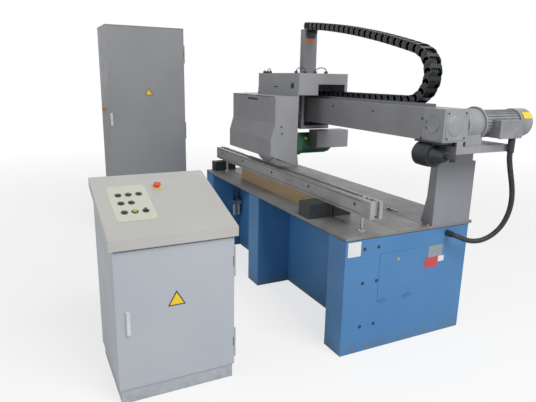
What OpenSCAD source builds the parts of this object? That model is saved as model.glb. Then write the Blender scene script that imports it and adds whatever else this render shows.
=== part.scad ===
// Panel cut-off machine: a travelling overhead saw on a gantry beam above a clamping table,
// with its free-standing operator console and electrical cabinet. Millimetres, +Z up.
// Origin: centre of the machine base's footprint on the floor. +X is the drive end, -Y the operator side.

/* [Base] */
// Length of the machine base along the cut
base_len = 2500; // [2300:10:2900]
// Width of the machine base, front to back
base_w = 1030; // [1000:10:1200]
// Height of the table surface above the floor
table_h = 800; // [760:5:900]
// Thickness of the table plate
table_t = 20; // [16:1:30]
// Overhang of the table plate behind the base
table_back_lip = 30; // [10:5:60]
// Depth of the leg bays behind the front of the pedestals
bay_depth = 300; // [200:10:360]
// Length of the drive-end pedestal
end_pedestal_len = 185; // [150:5:260]
// Length of the middle pedestal
mid_pedestal_len = 193; // [150:5:260]
// Distance from the drive end to the middle pedestal
mid_pedestal_pos = 1241; // [1100:10:1300]
// Width of the access opening in the end face
access_w = 280; // [200:10:360]
// Height of the access opening in the end face
access_h = 300; // [200:10:360]
// Depth of the access compartment
access_depth = 160; // [80:10:200]

/* [Work piece and clamp] */
// Length of the board in the machine
board_len = 1355; // [800:5:1500]
// Thickness of the board
board_t = 105; // [60:5:120]
// Depth of the board, front to back
board_d = 197; // [150:2:230]
// Length of the black end block
block_len = 145; // [100:5:200]
// Depth of the black end block
block_d = 345; // [250:10:380]
// Overall length of the pressure beam
clamp_len = 2620; // [2300:10:2800]
// Height of the pressure beam's rails
clamp_h = 110; // [80:5:120]
// Thickness of the front rail of the pressure beam
clamp_front_t = 35; // [20:1:45]
// Thickness of the rear rail of the pressure beam
clamp_rear_t = 25; // [15:1:35]
// Gap between the rails, for the saw blade
clamp_gap = 35; // [25:1:50]
// Diameter of the lifting rods
rod_d = 20; // [16:1:30]
// How far the pressure beam lifts off the board
clamp_lift = 22; // [10:1:24]

/* [Gantry] */
// Height of the foot and shaft of each upright
upright_h = 420; // [380:5:460]
// Thickness of an upright at its foot
upright_foot_t = 110; // [90:5:140]
// Thickness of an upright at its top
upright_top_t = 60; // [50:5:80]
// Depth of an upright, front to back
upright_d = 340; // [300:10:400]
// Height of the narrow neck above an upright
neck_h = 90; // [70:5:120]
// Depth of the gantry beam, front to back
beam_d = 200; // [180:5:220]
// Height of the gantry beam
beam_h = 195; // [180:5:210]
// Wall thickness of the gantry beam
beam_wall = 10; // [6:1:12]
// Length of the drive-end head casting
head_len = 170; // [160:5:220]
// Thickness of the motor tray
tray_t = 45; // [30:1:50]
// Radius of the toothed-belt pulleys at the belt
pulley_r = 60; // [50:1:64]

/* [Carriage] */
// Length of the carriage along the beam
box_len = 740; // [600:10:760]
// Height of the carriage box above the beam
box_h = 170; // [150:5:220]
// Length of the saw hood
hood_len = 835; // [700:5:850]
// Depth of the saw hood
hood_d = 210; // [190:5:220]
// Thickness of the sheet metal
sheet_t = 3; // [2:0.5:4]
// Travel from the rest position towards the drive end
travel_near = 950; // [700:10:950]
// Travel from the rest position away from the drive end
travel_far = 450; // [300:10:450]
// Width of the cable mast
mast_w = 130; // [100:5:150]
// Height of the cable mast above the box
mast_h = 385; // [350:5:420]

/* [Saw unit] */
// Diameter of the saw blade
blade_d = 550; // [450:10:560]
// Thickness of the saw blade
blade_t = 4; // [3:0.5:5]
// Number of teeth on the saw blade
blade_teeth = 60; // [40:4:72]
// Diameter of the spindle shaft
spindle_d = 40; // [30:1:50]
// Diameter of the spindle housing
quill_d = 110; // [90:2:120]
// Diameter of the blade flange
flange_d = 100; // [80:5:140]
// Stroke of the saw unit
plunge = 235; // [200:5:240]
// Diameter of the saw motor
saw_motor_d = 190; // [160:5:200]

/* [Energy chain] */
// Pitch of the chain links
chain_pitch = 68; // [66:1:80]
// Width of the chain
chain_w = 100; // [80:5:110]
// Height of the chain links
chain_h = 58; // [46:1:58]

/* [Operator console] */
// Width of the console
console_w = 663; // [600:5:800]
// Depth of the console
console_d = 593; // [500:5:650]
// Height of the console at its front, up to the lid
console_h = 885; // [800:5:950]
// Rise of the lid from front to back
lid_rise = 207; // [150:1:260]
// Depth of the lid's skirt
lid_skirt = 55; // [40:1:70]
// Overhang of the lid at the front and sides
lid_over = 18; // [12:1:25]
// Height of the console's plinth
console_plinth_h = 84; // [60:2:100]

/* [Electrical cabinet] */
// Width of the cabinet
cabinet_w = 800; // [600:10:800]
// Depth of the cabinet
cabinet_d = 500; // [400:10:600]
// Height of the cabinet
cabinet_h = 2220; // [1800:10:2300]
// Thickness of the cabinet and console doors
door_t = 20; // [16:1:25]

/* [Hidden] */

// Clearances shared by every fit
eps = 0.3; // gap between parts that only lie close
fit = 0.05; // radial running fit of pins and shafts
cut = 1; // overrun of a cutting shape
$fn = 48;

// Places on the base
end_x = base_len / 2;
front_y = -base_w / 2;
rear_y = base_w / 2;
bay_y = front_y + bay_depth;
top_z = table_h;
under_z = table_h - table_t;
access_inset = 280;
access_hinge_shares = [0.15, 0.85];
access_sill = 352;
access_y = [front_y + access_inset, front_y + access_inset + access_w];
access_z = [access_sill, access_sill + access_h];
access_lap = 10;

// Blade plane, clamp rails, board
clamp_inset = 150;
rail_f = [front_y + clamp_inset, front_y + clamp_inset + clamp_front_t];
rail_r = [rail_f[1] + clamp_gap, rail_f[1] + clamp_gap + clamp_rear_t];
blade_y = rail_f[1] + clamp_gap / 2;
board_z = [top_z, top_z + board_t];
clamp_z = [board_z[1], board_z[1] + clamp_h];
block_inset_x = 600;
block_inset_y = 10;
board_inset_y = 158;
block_x = [end_x - block_inset_x, end_x - block_inset_x + block_len];
block_y = [front_y + block_inset_y, front_y + block_inset_y + block_d];
board_x = [block_x[0] - board_len, block_x[0]];
board_y = [front_y + board_inset_y, front_y + board_inset_y + board_d];
clamp_over = 20;
clamp_x = [end_x + clamp_over - clamp_len, end_x + clamp_over];
slot_w = 12;
slot_depth = 15;
slot_margin = 20;

// Gantry
upright_z = [top_z, top_z + upright_h];
neck_z = [upright_z[1], upright_z[1] + neck_h];
upright_y = [rear_y - upright_d, rear_y];
neck_front = 190;
neck_rear = 30;
neck_y = [rear_y - neck_front, rear_y - neck_rear];
tray_z = [neck_z[1], neck_z[1] + tray_t];
packer_t = 30;
beam_z = [tray_z[1] + packer_t, tray_z[1] + packer_t + beam_h];
beam_front_y = -15;
beam_y = [beam_front_y, beam_front_y + beam_d];
beam_over = 30;
beam_x = [-end_x - beam_over, end_x + beam_over];
head_x = [beam_x[1], beam_x[1] + head_len];
far_head_len = 170;
far_head_x = [beam_x[0] - far_head_len, beam_x[0]];
arm_t = 60;
tray_front_y = 105;
tray_rear_y = 565;

// Toothed-belt drive inside the beam
pulley_offset = 85;
pulley_x = head_x[0] + pulley_offset;
idler_x = far_head_x[1] - pulley_offset;
belt_z = (beam_z[0] + beam_z[1]) / 2;
belt_t = 3;
belt_w = 50;
belt_mid_y = beam_y[0] + beam_d / 2;
belt_y = [belt_mid_y - belt_w / 2, belt_mid_y + belt_w / 2];
belt_slot_w = 30;

// Carriage at rest
box_near_x = 130;
box_x = [box_near_x - box_len, box_near_x];
hood_x = [box_near_x - hood_len, box_near_x];
hood_inset = 280;
hood_back_y = front_y + hood_inset;
hood_y = [hood_back_y - hood_d, hood_back_y];
box_gap = 30;
box_z = [beam_z[1] + box_gap, beam_z[1] + box_gap + box_h];
box_back = 37;
box_y = [hood_back_y, beam_y[1] + box_back];
hood_drop = 10;
hood_top_z = box_z[0] - hood_drop;
hood_rear_clear = 30;
hood_rear_z = clamp_z[1] + hood_rear_clear;
hood_front_clear = 125;
hood_front_z = clamp_z[1] + hood_front_clear;
hood_break = 210;
hood_shoulder = 330;
hood_flare = 35;
box_lap = 50;
floor_gap = 40;
floor_t = 29;
floor_z = [beam_z[0] - floor_gap - floor_t, beam_z[0] - floor_gap];
front_plate_gap = 20;
front_plate_t = 25;
front_plate_y = [beam_y[0] - front_plate_gap - front_plate_t, beam_y[0] - front_plate_gap];

// Saw unit at rest
blade_x = -290;
blade_lift = 10;
blade_z = top_z - blade_lift + blade_d / 2 + plunge;
slide_t = 25;
rail_h = 10;
slide_y = [front_plate_y[0] - rail_h - slide_t, front_plate_y[0] - rail_h];
slide_w = 220;
slide_x = [blade_x - slide_w / 2, blade_x + slide_w / 2];
motor_shift = 45;
motor_drop = 120;
motor_x = blade_x + motor_shift;
motor_z = blade_z - motor_drop;

// Console and cabinet
console_inset_x = 89;
console_inset_y = 696;
console_x = [end_x - console_inset_x - console_d, end_x - console_inset_x];
console_y = [front_y - console_inset_y - console_w, front_y - console_inset_y];
cabinet_inset_x = 490;
cabinet_inset_y = 70;
cabinet_x = [-end_x - cabinet_inset_x - cabinet_d, -end_x - cabinet_inset_x];
cabinet_y = [front_y - cabinet_inset_y - cabinet_w, front_y - cabinet_inset_y];
hinge_d = 10;
pin_d = 5;

module slab(x, y, z) translate([x[0], y[0], z[0]]) cube([x[1] - x[0], y[1] - y[0], z[1] - z[0]]);
module rod_x(x, y, z, d) translate([x[0], y, z]) rotate([0, 90, 0]) cylinder(h = x[1] - x[0], d = d);
module rod_y(y, x, z, d) translate([x, y[0], z]) rotate([-90, 0, 0]) cylinder(h = y[1] - y[0], d = d);
module rod_z(z, x, y, d) translate([x, y, z[0]]) cylinder(h = z[1] - z[0], d = d);
module prism_x(x, points)
  translate([x[0], 0, 0]) rotate([90, 0, 90]) linear_extrude(height = x[1] - x[0]) polygon(points);
module prism_y(y, points)
  translate([0, y[1], 0]) rotate([90, 0, 0]) linear_extrude(height = y[1] - y[0]) polygon(points);
function grow(span, by) = [span[0] - by, span[1] + by];
function after(start, by) = [start, start + by];
function before(end, by) = [end - by, end];
function about(centre, width) = [centre - width / 2, centre + width / 2];
function mid(span) = (span[0] + span[1]) / 2;
function between(span, share) = span[0] + (span[1] - span[0]) * share;

// Base
compartment_rim = 20;
wall_t = 4;
module base_cabinet() {
  color("steelblue") difference() {
    union() {
      slab([-end_x, end_x], [bay_y, rear_y], [0, under_z]);
      slab(before(end_x, end_pedestal_len), [front_y, rear_y], [0, under_z]);
    }
    slab([end_x - access_depth, end_x - wall_t], grow(access_y, compartment_rim), grow(access_z, compartment_rim));
    slab([end_x - access_depth, end_x + cut], access_y, access_z);
    cylinder_bores();
  }
  color("steelblue") for (share = access_hinge_shares) access_knuckle(between(access_plate_y, share));
  color("steelblue") slab([end_x - wall_t, end_x], about(lock_y, keeper_w), [access_z[1] - keeper_h, access_z[1] - eps]);
}
module cylinder_bores() rod_places() translate([0, 0, under_z - cylinder_len])
  cylinder(h = cylinder_len + cut, d = cylinder_d);
module base_pedestals() color("steelblue") difference() {
  union() {
    slab(before(end_x - mid_pedestal_pos, mid_pedestal_len), [front_y, bay_y], [0, under_z]);
    slab(after(-end_x, end_pedestal_len), [front_y, bay_y], [0, under_z]);
  }
  cylinder_bores();
}

slot_x = [blade_x - travel_far - blade_d / 2 - slot_margin, blade_x + travel_near + blade_d / 2 + slot_margin];
module table_plate() color("gainsboro") difference() {
  slab([-end_x, end_x], [front_y, rear_y + table_back_lip], [under_z, top_z]);
  slab(slot_x, about(blade_y, slot_w), [top_z - slot_depth, top_z + cut]);
  rod_places() translate([0, 0, under_z - cut]) cylinder(h = table_t + 2 * cut, d = cylinder_neck_d);
}

kerf_w = 8;
module kerf(x) slab(grow(x, cut), about(blade_y, kerf_w), grow(board_z, cut));
module support_board() color("tan") difference() {
  slab(board_x, board_y, board_z);
  kerf(board_x);
}

module end_block() color("dimgray") difference() {
  slab(block_x, block_y, board_z);
  kerf(block_x);
}

// Pressure beam
bridge_t = 18;
bridge_len = 90;
pocket_len = 150;
pocket_w = 14;
pocket_depth = 25;
pocket_shares = [0.22, 0.46, 0.68];
rod_inset_x = 75;
rod_gap_y = 18;
rod_y_place = rail_f[0] + rod_gap_y;
module rod_places() for (x = [end_x - rod_inset_x, rod_inset_x * 2 - end_x]) translate([x, rod_y_place, 0]) children();

module clamp_beam() color("silver") {
  difference() {
    slab(clamp_x, rail_f, clamp_z);
    rod_places() translate([0, 0, clamp_z[0] - cut]) cylinder(h = pocket_depth + cut, d = rod_d);
  }
  difference() {
    slab(clamp_x, rail_r, clamp_z);
    for (share = pocket_shares)
      slab(about(between(clamp_x, share), pocket_len), [rail_r[1] - pocket_w, rail_r[1] + cut],
        [clamp_z[1] - pocket_depth, clamp_z[1] + cut]);
  }
  for (end = [0, 1]) {
    slab(end == 0 ? after(clamp_x[0], bridge_t) : before(clamp_x[1] - bridge_t, bridge_t),
      grow([rail_f[1], rail_r[0]], -eps), [clamp_z[0] + bridge_t, clamp_z[1]]);
    slab(end == 0 ? after(clamp_x[0], bridge_len) : before(clamp_x[1] - bridge_len, bridge_len),
      grow([rail_f[1], rail_r[0]], -eps), before(clamp_z[1], bridge_t));
  }
}

rod_below = 150;
module clamp_rods() color("lightgray") rod_places()
  translate([0, 0, top_z - rod_below]) cylinder(h = clamp_z[0] + pocket_depth - top_z + rod_below, d = rod_d);

collar_d = 46;
collar_h = 12;
cylinder_d = 63;
cylinder_len = 230;
module clamp_cylinders() color("darkgray") rod_places() difference() {
  union() {
    translate([0, 0, top_z]) cylinder(h = collar_h, d = collar_d);
    translate([0, 0, under_z - cylinder_len]) cylinder(h = cylinder_len, d = cylinder_d);
    translate([0, 0, under_z - cut]) cylinder(h = table_t + 2 * cut, d = cylinder_neck_d);
  }
  translate([0, 0, top_z - rod_below - collar_h]) cylinder(h = rod_below + 2 * collar_h + cut, d = rod_d + 2 * fit);
}
cylinder_neck_d = 34;

// Gantry
upright_round = 20;
module upright(near_x, side) {
  far_foot = near_x - side * upright_foot_t;
  far_top = near_x - side * upright_top_t;
  flare_z = upright_z[0] + upright_h * 0.45;
  prism_y(upright_y, [[near_x, upright_z[0]], [near_x, upright_z[1]], [far_top, upright_z[1]],
    [far_top - side * upright_round / 2, flare_z], [far_foot, upright_z[0]]]);
  prism_y(neck_y, [[near_x, neck_z[0]], [near_x, neck_z[1]], [far_top, neck_z[1]], [far_top, neck_z[0]]]);
}
module uprights() color("slategray") {
  upright(end_x, 1);
  upright(-end_x, -1);
}

module gantry_beam() color("lightslategray") {
  difference() {
    slab(beam_x, beam_y, beam_z);
    slab(grow(beam_x, cut), grow(beam_y, -beam_wall), grow(beam_z, -beam_wall));
    slab([box_x[0] - travel_far - slot_margin, box_x[1] + travel_near - slot_margin],
      about(belt_mid_y, belt_slot_w), [beam_z[0] - cut, beam_z[0] + beam_wall + cut]);
  }
  slab(trough_x, [trough_y[0] - trough_lip_t, trough_y[0]], after(beam_z[1], trough_lip_h));
}
head_wall = 17;
boss_d = 90;
boss_t = 12;
shaft_d = 30;
module head(x, pulley) color("lightslategray") difference() {
  union() {
    slab(x, beam_y, beam_z);
    rod_y(before(beam_y[0], boss_t), pulley, belt_z, boss_d);
  }
  slab(pulley > 0 ? [x[0] - cut, x[1] - head_wall] : [x[0] + head_wall, x[1] + cut],
    grow(beam_y, -beam_wall), grow(beam_z, -beam_wall));
  rod_y([beam_y[0] - boss_t / 2, beam_y[1] + cut], pulley, belt_z, shaft_d + 2 * fit);
}
module end_heads() {
  head(head_x, pulley_x);
  head(far_head_x, idler_x);
}

flange_t = 12;
flange_rise = 80;
module motor_tray() color("lightgray") {
  slab([end_x - arm_t, head_x[1]], [tray_front_y, tray_rear_y], tray_z);
  slab(before(head_x[1], flange_t), [tray_front_y, beam_y[1] - packer_t], [tray_z[1], beam_z[0]]);
}

arm_drop = 60;
module bracket(x) {
  slab(x, [tray_front_y, beam_y[1]], [tray_z[1], beam_z[0]]);
  slab(x, [beam_y[1], neck_y[1]], [tray_z[1], beam_z[1] - arm_drop]);
}
module beam_brackets() color("slategray") {
  bracket([end_x - arm_t, end_x]);
  bracket([-end_x, arm_t - end_x]);
  slab([-end_x, arm_t - end_x], [tray_front_y, neck_y[1]], tray_z);
}

rail_t = 15;
rail_w = 20;
rail_inset = 45;
rail_x = [arm_t + rail_w - end_x, end_x - arm_t - rail_w];
rail_heights = [beam_z[0] + rail_inset, beam_z[1] - rail_inset];
module guide_rails() color("silver") for (z = rail_heights) {
  slab(rail_x, after(beam_y[1], rail_t / 2), about(z, rail_w * 0.6));
  slab(rail_x, [beam_y[1] + rail_t / 2, beam_y[1] + rail_t], about(z, rail_w));
}

module loop(r, y) {
  rod_y(y, pulley_x, belt_z, 2 * r);
  rod_y(y, idler_x, belt_z, 2 * r);
  slab([idler_x, pulley_x], y, about(belt_z, 2 * r));
}
module drive_belt() color("dimgray") difference() {
  loop(pulley_r + belt_t, belt_y);
  loop(pulley_r, grow(belt_y, cut));
}

// Toothed pulley: rim with teeth, hub and shaft. The shaft runs in the head and in the gearbox.
pulley_teeth = 30;
tooth_depth = 2.5;
hub_share = 0.45;
module pulley(x, shaft_y) color("silver") {
  difference() {
    rod_y(belt_y, x, belt_z, 2 * (pulley_r - eps));
    for (i = [0:pulley_teeth - 1])
      translate([x, 0, belt_z]) rotate([0, i * 360 / pulley_teeth, 0])
        translate([pulley_r, 0, 0]) rod_y(grow(belt_y, cut), 0, 0, 2 * tooth_depth);
    for (y = [belt_y[0], belt_y[1]]) difference() {
      rod_y(about(y, belt_w / 2), x, belt_z, 2 * pulley_r * (1 - hub_share / 3));
      rod_y(about(y, belt_w), x, belt_z, 2 * pulley_r * hub_share);
    }
  }
  rod_y(shaft_y, x, belt_z, shaft_d);
}
shaft_reach = 40;
module drive_pulley() pulley(pulley_x, [beam_y[0], gear_y[0] + shaft_reach]);
module idler_pulley() pulley(idler_x, [beam_y[0], beam_y[1]]);

// Gear motor on the tray
gear_len = 140;
gear_y = after(beam_y[1], gear_len);
gear_w = 150;
gear_d = 190;
module gearbox() color("lightgray") difference() {
  union() {
    slab(about(pulley_x, gear_w), gear_y, [tray_z[1], belt_z]);
    rod_y(gear_y, pulley_x, belt_z, gear_d);
    rod_y(after(gear_y[1] - rib_t, rib_t), pulley_x, belt_z, gear_d + 2 * rib_t);
  }
  rod_y([gear_y[0] - cut, gear_y[0] + shaft_reach + cut], pulley_x, belt_z, shaft_d + 2 * fit);
  slab(about(pulley_x, gear_w + gear_d), grow(gear_y, cut), before(tray_z[1], gear_d));
}
rib_t = 12;

motor_d = 176;
motor_len = 430;
motor_y = after(gear_y[1], motor_len);
cowl_len = 110;
fin_t = 4;
fin_h = 8;
fin_count = 28;
terminal_from_axis = 60;
terminal_w = 80;
terminal_gap = 70;
terminal_len = 195;
terminal_drop = 80;
terminal_h = 108;
terminal_x = after(pulley_x + terminal_from_axis, terminal_w);
terminal_y = after(motor_y[0] + terminal_gap, terminal_len);
terminal_z = after(belt_z - terminal_drop, terminal_h);
module drive_motor() color("lightgray") {
  rod_y([motor_y[0], motor_y[1] - cowl_len + fin_h], pulley_x, belt_z, motor_d - 2 * fin_h);
  for (i = [0:fin_count - 1]) translate([pulley_x, 0, belt_z]) rotate([0, i * 360 / fin_count, 0])
    slab([motor_d / 2 - 2 * fin_h, motor_d / 2 - fin_h / 4],
      [motor_y[0] + rib_t / 2, motor_y[1] - cowl_len + cut], about(0, fin_t));
  rod_y(after(motor_y[0], rib_t), pulley_x, belt_z, motor_d);
  rod_y(before(motor_y[1], cowl_len), pulley_x, belt_z, motor_d + fin_h);
  slab(terminal_x, terminal_y, terminal_z);
}

// Hose from the terminal box down to the base
hose_d = 34;
hose_sides = 10;
hose_route = [[1478, 548, 1325], [1478, 548, 1275], [1478, 562, 1220], [1478, 584, 1155], [1476, 610, 1085],
  [1472, 630, 1015], [1464, 640, 940], [1452, 634, 865], [1436, 608, 795], [1414, 562, 738],
  [1388, 502, 702], [1364, 442, 694], [1349, 396, 704], [1336, 357, 720], [1319, 326, 733],
  [1298, 320, 735], [1275, 320, 735]];
function unit(v) = v / norm(v);
function tangent(p, i) = unit(p[min(i + 1, len(p) - 1)] - p[max(i - 1, 0)]);
function side_of(t) = unit(cross(t, [0.3, 1, 0.2]));
function ring(p, t, r, n) = [for (k = [0:n - 1])
  p + r * cos(360 * k / n) * side_of(t) + r * sin(360 * k / n) * cross(t, side_of(t))];
module tube(route, r, n) {
  last = len(route) - 1;
  rings = [for (i = [0:last]) each ring(route[i], tangent(route, i), r, n)];
  polyhedron(rings, concat(
    [[for (k = [0:n - 1]) n - 1 - k]],
    [for (i = [0:last - 1]) for (k = [0:n - 1]) let (a = i * n + k, b = i * n + (k + 1) % n)
      each [[a, b, b + n], [a, b + n, a + n]]],
    [[for (k = [0:n - 1]) last * n + k]]));
}
module motor_hose() color("dimgray") tube(hose_route, hose_d / 2, hose_sides);

gland_d = 46;
gland_play = 1.5;
gland_len = 40;
nut_h = 18;
module gland(length) {
  cylinder(h = nut_h, d = gland_d, $fn = 6);
  cylinder(h = length, d = hose_d + 2 * fin_t);
}
module hose_glands() color("dimgray") {
  top_end = hose_route[0];
  low_end = hose_route[len(hose_route) - 1];
  difference() {
    translate([top_end[0], top_end[1], terminal_z[0]]) rotate([180, 0, 0])
      gland(terminal_z[0] - top_end[2] + nut_h);
    translate([top_end[0], top_end[1], top_end[2] - gland_len]) cylinder(h = gland_len, d = hose_d + 2 * gland_play);
  }
  difference() {
    translate([end_x, low_end[1], low_end[2]]) rotate([0, 90, 0]) gland(low_end[0] - end_x + nut_h);
    rod_x(after(low_end[0], gland_len), low_end[1], low_end[2], hose_d + 2 * gland_play);
  }
}

// Second gear motor, under the drive end of the beam
aux_y = 20;
aux_d = 150;
aux_inset = 30;
aux_body = 150;
aux_x = after(end_x - aux_inset, aux_body);
aux_strip_t = 10;
aux_z = beam_z[0] - aux_strip_t - aux_d / 2;
aux_nose_d = 62;
aux_nose = 84;
aux_nose_x = aux_x[1] + aux_nose;
module auxiliary_motor() color("dimgray") {
  translate([aux_x[0], aux_y, aux_z]) rotate([0, 90, 0]) {
    cylinder(h = aux_d / 6, d1 = aux_d * 0.72, d2 = aux_d);
    translate([0, 0, aux_d / 6]) cylinder(h = aux_x[1] - aux_x[0] - aux_d / 6, d = aux_d);
    translate([0, 0, aux_x[1] - aux_x[0]]) cylinder(h = aux_nose_x - aux_x[1], d1 = aux_d * 0.8, d2 = aux_nose_d);
    translate([0, 0, aux_nose_x - aux_x[0]]) cylinder(h = shaft_d, d = shaft_d);
    for (i = [0:fin_count - 1]) rotate([0, 0, i * 360 / fin_count])
      translate([aux_d / 2 - fin_h, -fin_t / 2, aux_d / 3]) cube([fin_h + fin_t / 2, fin_t, aux_d / 2]);
  }
  slab([aux_x[0] + fin_h, head_x[1]], about(aux_y, aux_d * 0.6), before(beam_z[0], aux_strip_t));
}

// Energy chain: two straight-ish runs and a bend, laid out as links of one pitch
chain_front_y = 85;
chain_y = after(chain_front_y, chain_w);
chain_gap = 2;
lower_z = beam_z[1] + chain_gap + chain_h / 2;
bend_links = 7;
bend_turn = 165;
bend_r = chain_pitch / (2 * sin(bend_turn / bend_links / 2));
bend_x = 1004;
lower_links = 16;
upper_links = 21;
upper_turn = 10;
plate_t = 4;
trough_lip_t = 3;
trough_lip_h = 22;
trough_x = beam_x;
trough_play = 8;
trough_y = [chain_y[0] - trough_play, chain_y[1]];
bend_centre = [bend_x, lower_z + bend_r];
function bend_point(i) = bend_centre + bend_r * [sin(i * bend_turn / bend_links), -cos(i * bend_turn / bend_links)];
function upper_angle(i) = bend_turn + upper_turn * (i + 0.5) / upper_links;
function upper_point(i) = i == 0 ? bend_point(bend_links)
  : upper_point(i - 1) + chain_pitch * [cos(upper_angle(i - 1)), sin(upper_angle(i - 1))];

module link_plate() {
  r = chain_h / 2;
  web = chain_pitch - 2 * r - 2 * eps;
  rod_y([0, plate_t], 0, 0, 2 * r);
  rod_y([plate_t + eps, 2 * plate_t + eps], chain_pitch, 0, 2 * r);
  slab([0, r + eps + web], [0, plate_t], about(0, chain_h * 0.8));
  slab([r + eps, chain_pitch], [plate_t + eps, 2 * plate_t + eps], about(0, chain_h * 0.8));
  slab([r + eps, r + eps + web], [0, 2 * plate_t + eps], about(0, chain_h * 0.8));
}
module chain_link(at, angle) translate([at[0], 0, at[1]]) rotate([0, -angle, 0]) {
  translate([0, chain_y[0], 0]) link_plate();
  translate([0, chain_y[1], 0]) mirror([0, 1, 0]) link_plate();
  for (side = [-1, 1]) slab([chain_h / 2 + eps, chain_pitch - chain_h / 2 - eps],
    [chain_y[0] + plate_t, chain_y[1] - plate_t],
    about(side * chain_h * 0.34, plate_t));
}
module chain_lower() color("dimgray") for (i = [0:lower_links - 1])
  chain_link([bend_x - (lower_links - i) * chain_pitch, lower_z], 0);
module chain_bend() color("dimgray") for (i = [0:bend_links - 1])
  chain_link(bend_point(i), (i + 0.5) * bend_turn / bend_links);
module chain_upper() color("dimgray") for (i = [0:upper_links - 1])
  chain_link(upper_point(i), upper_angle(i));

// Compressed-air service unit in the far bay
air_x = -end_x + end_pedestal_len;
air_y = [bay_y - 100, bay_y - 12];
air_z = [300, 500];
air_w = 70;
bowl_d = 38;
bowl_len = 110;
module air_service_unit() color("silver") {
  slab(after(air_x, air_w), air_y, [air_z[1] - bowl_d, air_z[1]]);
  for (share = [0.25, 0.75]) {
    rod_z([air_z[1] - bowl_d - bowl_len, air_z[1] - bowl_d], air_x + air_w / 2, between(air_y, share), bowl_d);
    rod_z(after(air_z[1] - bowl_d - bowl_len - fin_h, fin_h), air_x + air_w / 2, between(air_y, share), bowl_d / 2);
  }
  rod_z(after(air_z[1], fin_h), air_x + air_w / 2, between(air_y, 0.75), bowl_d * 0.6);
}
knob_h = 26;
module regulator_knob() color("dimgray") difference() {
  rod_z(after(air_z[1] + fin_h + eps, knob_h), air_x + air_w / 2, between(air_y, 0.75), bowl_d * 0.9);
  for (i = [0:7]) translate([air_x + air_w / 2, between(air_y, 0.75), 0]) rotate([0, 0, i * 45])
    rod_z([air_z[1], air_z[1] + 2 * knob_h], bowl_d * 0.47, 0, fin_t);
}

// Carriage
port_y = [-57, beam_y[1] + 12];
port_h = 85;
module carriage_box() color("lightslategray") difference() {
  slab(box_x, box_y, box_z);
  slab(grow(box_x, -sheet_t), grow(box_y, -sheet_t), [box_z[0] - cut, box_z[1] - sheet_t]);
  slab(grow(box_x, cut), port_y, [box_z[0] - cut, box_z[0] + port_h]);
}

frame_margin = 60;
frame_x = [slide_x[0] - frame_margin, slide_x[1] + frame_margin];
frame_top_z = box_z[1] - sheet_t;
frame_arm_w = 80;
slot_play = 4;
rear_plate_t = 14;
guide_gap = 150;
guide_w = 20;
guide_depth = 12;
module guide_pair(w) for (side = [-1, 1]) translate([blade_x + side * guide_gap / 2 - w / 2, 0, 0]) children();
module carriage_frame() color("slategray") {
  difference() {
    slab(frame_x, front_plate_y, [floor_z[0], frame_top_z]);
    guide_pair(guide_w + 2 * eps) slab([0, guide_w + 2 * eps], [front_plate_y[0] - cut, front_plate_y[0] + guide_depth],
      [floor_z[0] - cut, frame_top_z + cut]);
  }
  slab(frame_x, [front_plate_y[1], rear_plate_y[0]], floor_z);
  slab(about(blade_x, frame_arm_w), about(belt_mid_y, belt_slot_w - 2 * slot_play),
    [floor_z[1], belt_z - pulley_r - belt_t - eps]);
}
rear_plate_y = before(box_y[1] - sheet_t, rear_plate_t);

block_len_x = 90;
block_w = 44;
module carriage_rear_plate() color("slategray") {
  slab(frame_x, rear_plate_y, [floor_z[0], frame_top_z]);
  for (x = [frame_x[0], frame_x[1] - block_len_x]) for (z = rail_heights) difference() {
    slab(after(x, block_len_x), [beam_y[1] + rail_t / 3, rear_plate_y[0]], about(z, block_w));
    slab([x - cut, x + block_len_x + cut], [beam_y[1], beam_y[1] + rail_t / 2 - eps], about(z, rail_w * 0.6 + 2 * eps));
    slab([x - cut, x + block_len_x + cut], [beam_y[1] + rail_t / 2 - eps, beam_y[1] + rail_t + eps], about(z, rail_w + 2 * eps));
  }
}

mast_x = [-400, -335];
mast_wall = 6;
mast_head_t = 10;
chain_end = upper_point(upper_links);
module chain_mast() color("lightslategray") {
  my = about(mid(chain_y), mast_w);
  mz = [box_z[1], chain_end[1] - chain_h / 2 - eps - mast_head_t];
  difference() {
    slab(mast_x, my, mz);
    slab([mast_x[0] - cut, mast_x[1] - mast_wall], grow(my, -mast_wall), grow(mz, cut));
  }
  slab(grow(mast_x, mast_wall), grow(my, -mast_wall / 2), [mz[1] - mast_wall, mz[1] + mast_head_t]);
}

// Hood: end plates, top and slotted back, with the hinged front cover
hood_pts = [[hood_y[0], hood_top_z], [hood_y[0], hood_top_z - hood_break],
  [hood_y[0] - hood_flare, hood_top_z - hood_shoulder], [hood_y[0] - hood_flare, hood_front_z]];
cover_gap = 2;
hood_pin_drop = 10;
ear_d = 7;
hood_pin_z = hood_top_z - hood_pin_drop;
hood_pin_y = hood_y[0] + sheet_t / 2;
quill_play = 20;
quill_slot = quill_d + 2 * quill_play;
function shift_y(points, by) = [for (p = points) [p[0] + by, p[1]]];
function reversed(list) = [for (i = [len(list) - 1:-1:0]) list[i]];
module hood_end(x) {
  prism_x(x, concat(shift_y(hood_pts, sheet_t + cover_gap),
    [[hood_y[1], hood_rear_z], [hood_y[1], hood_top_z]]));
  slab(x, [hood_pin_y - ear_d / 2, hood_y[0] + hinge_d], [hood_pin_z - ear_d / 2, hood_top_z]);
}
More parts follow.
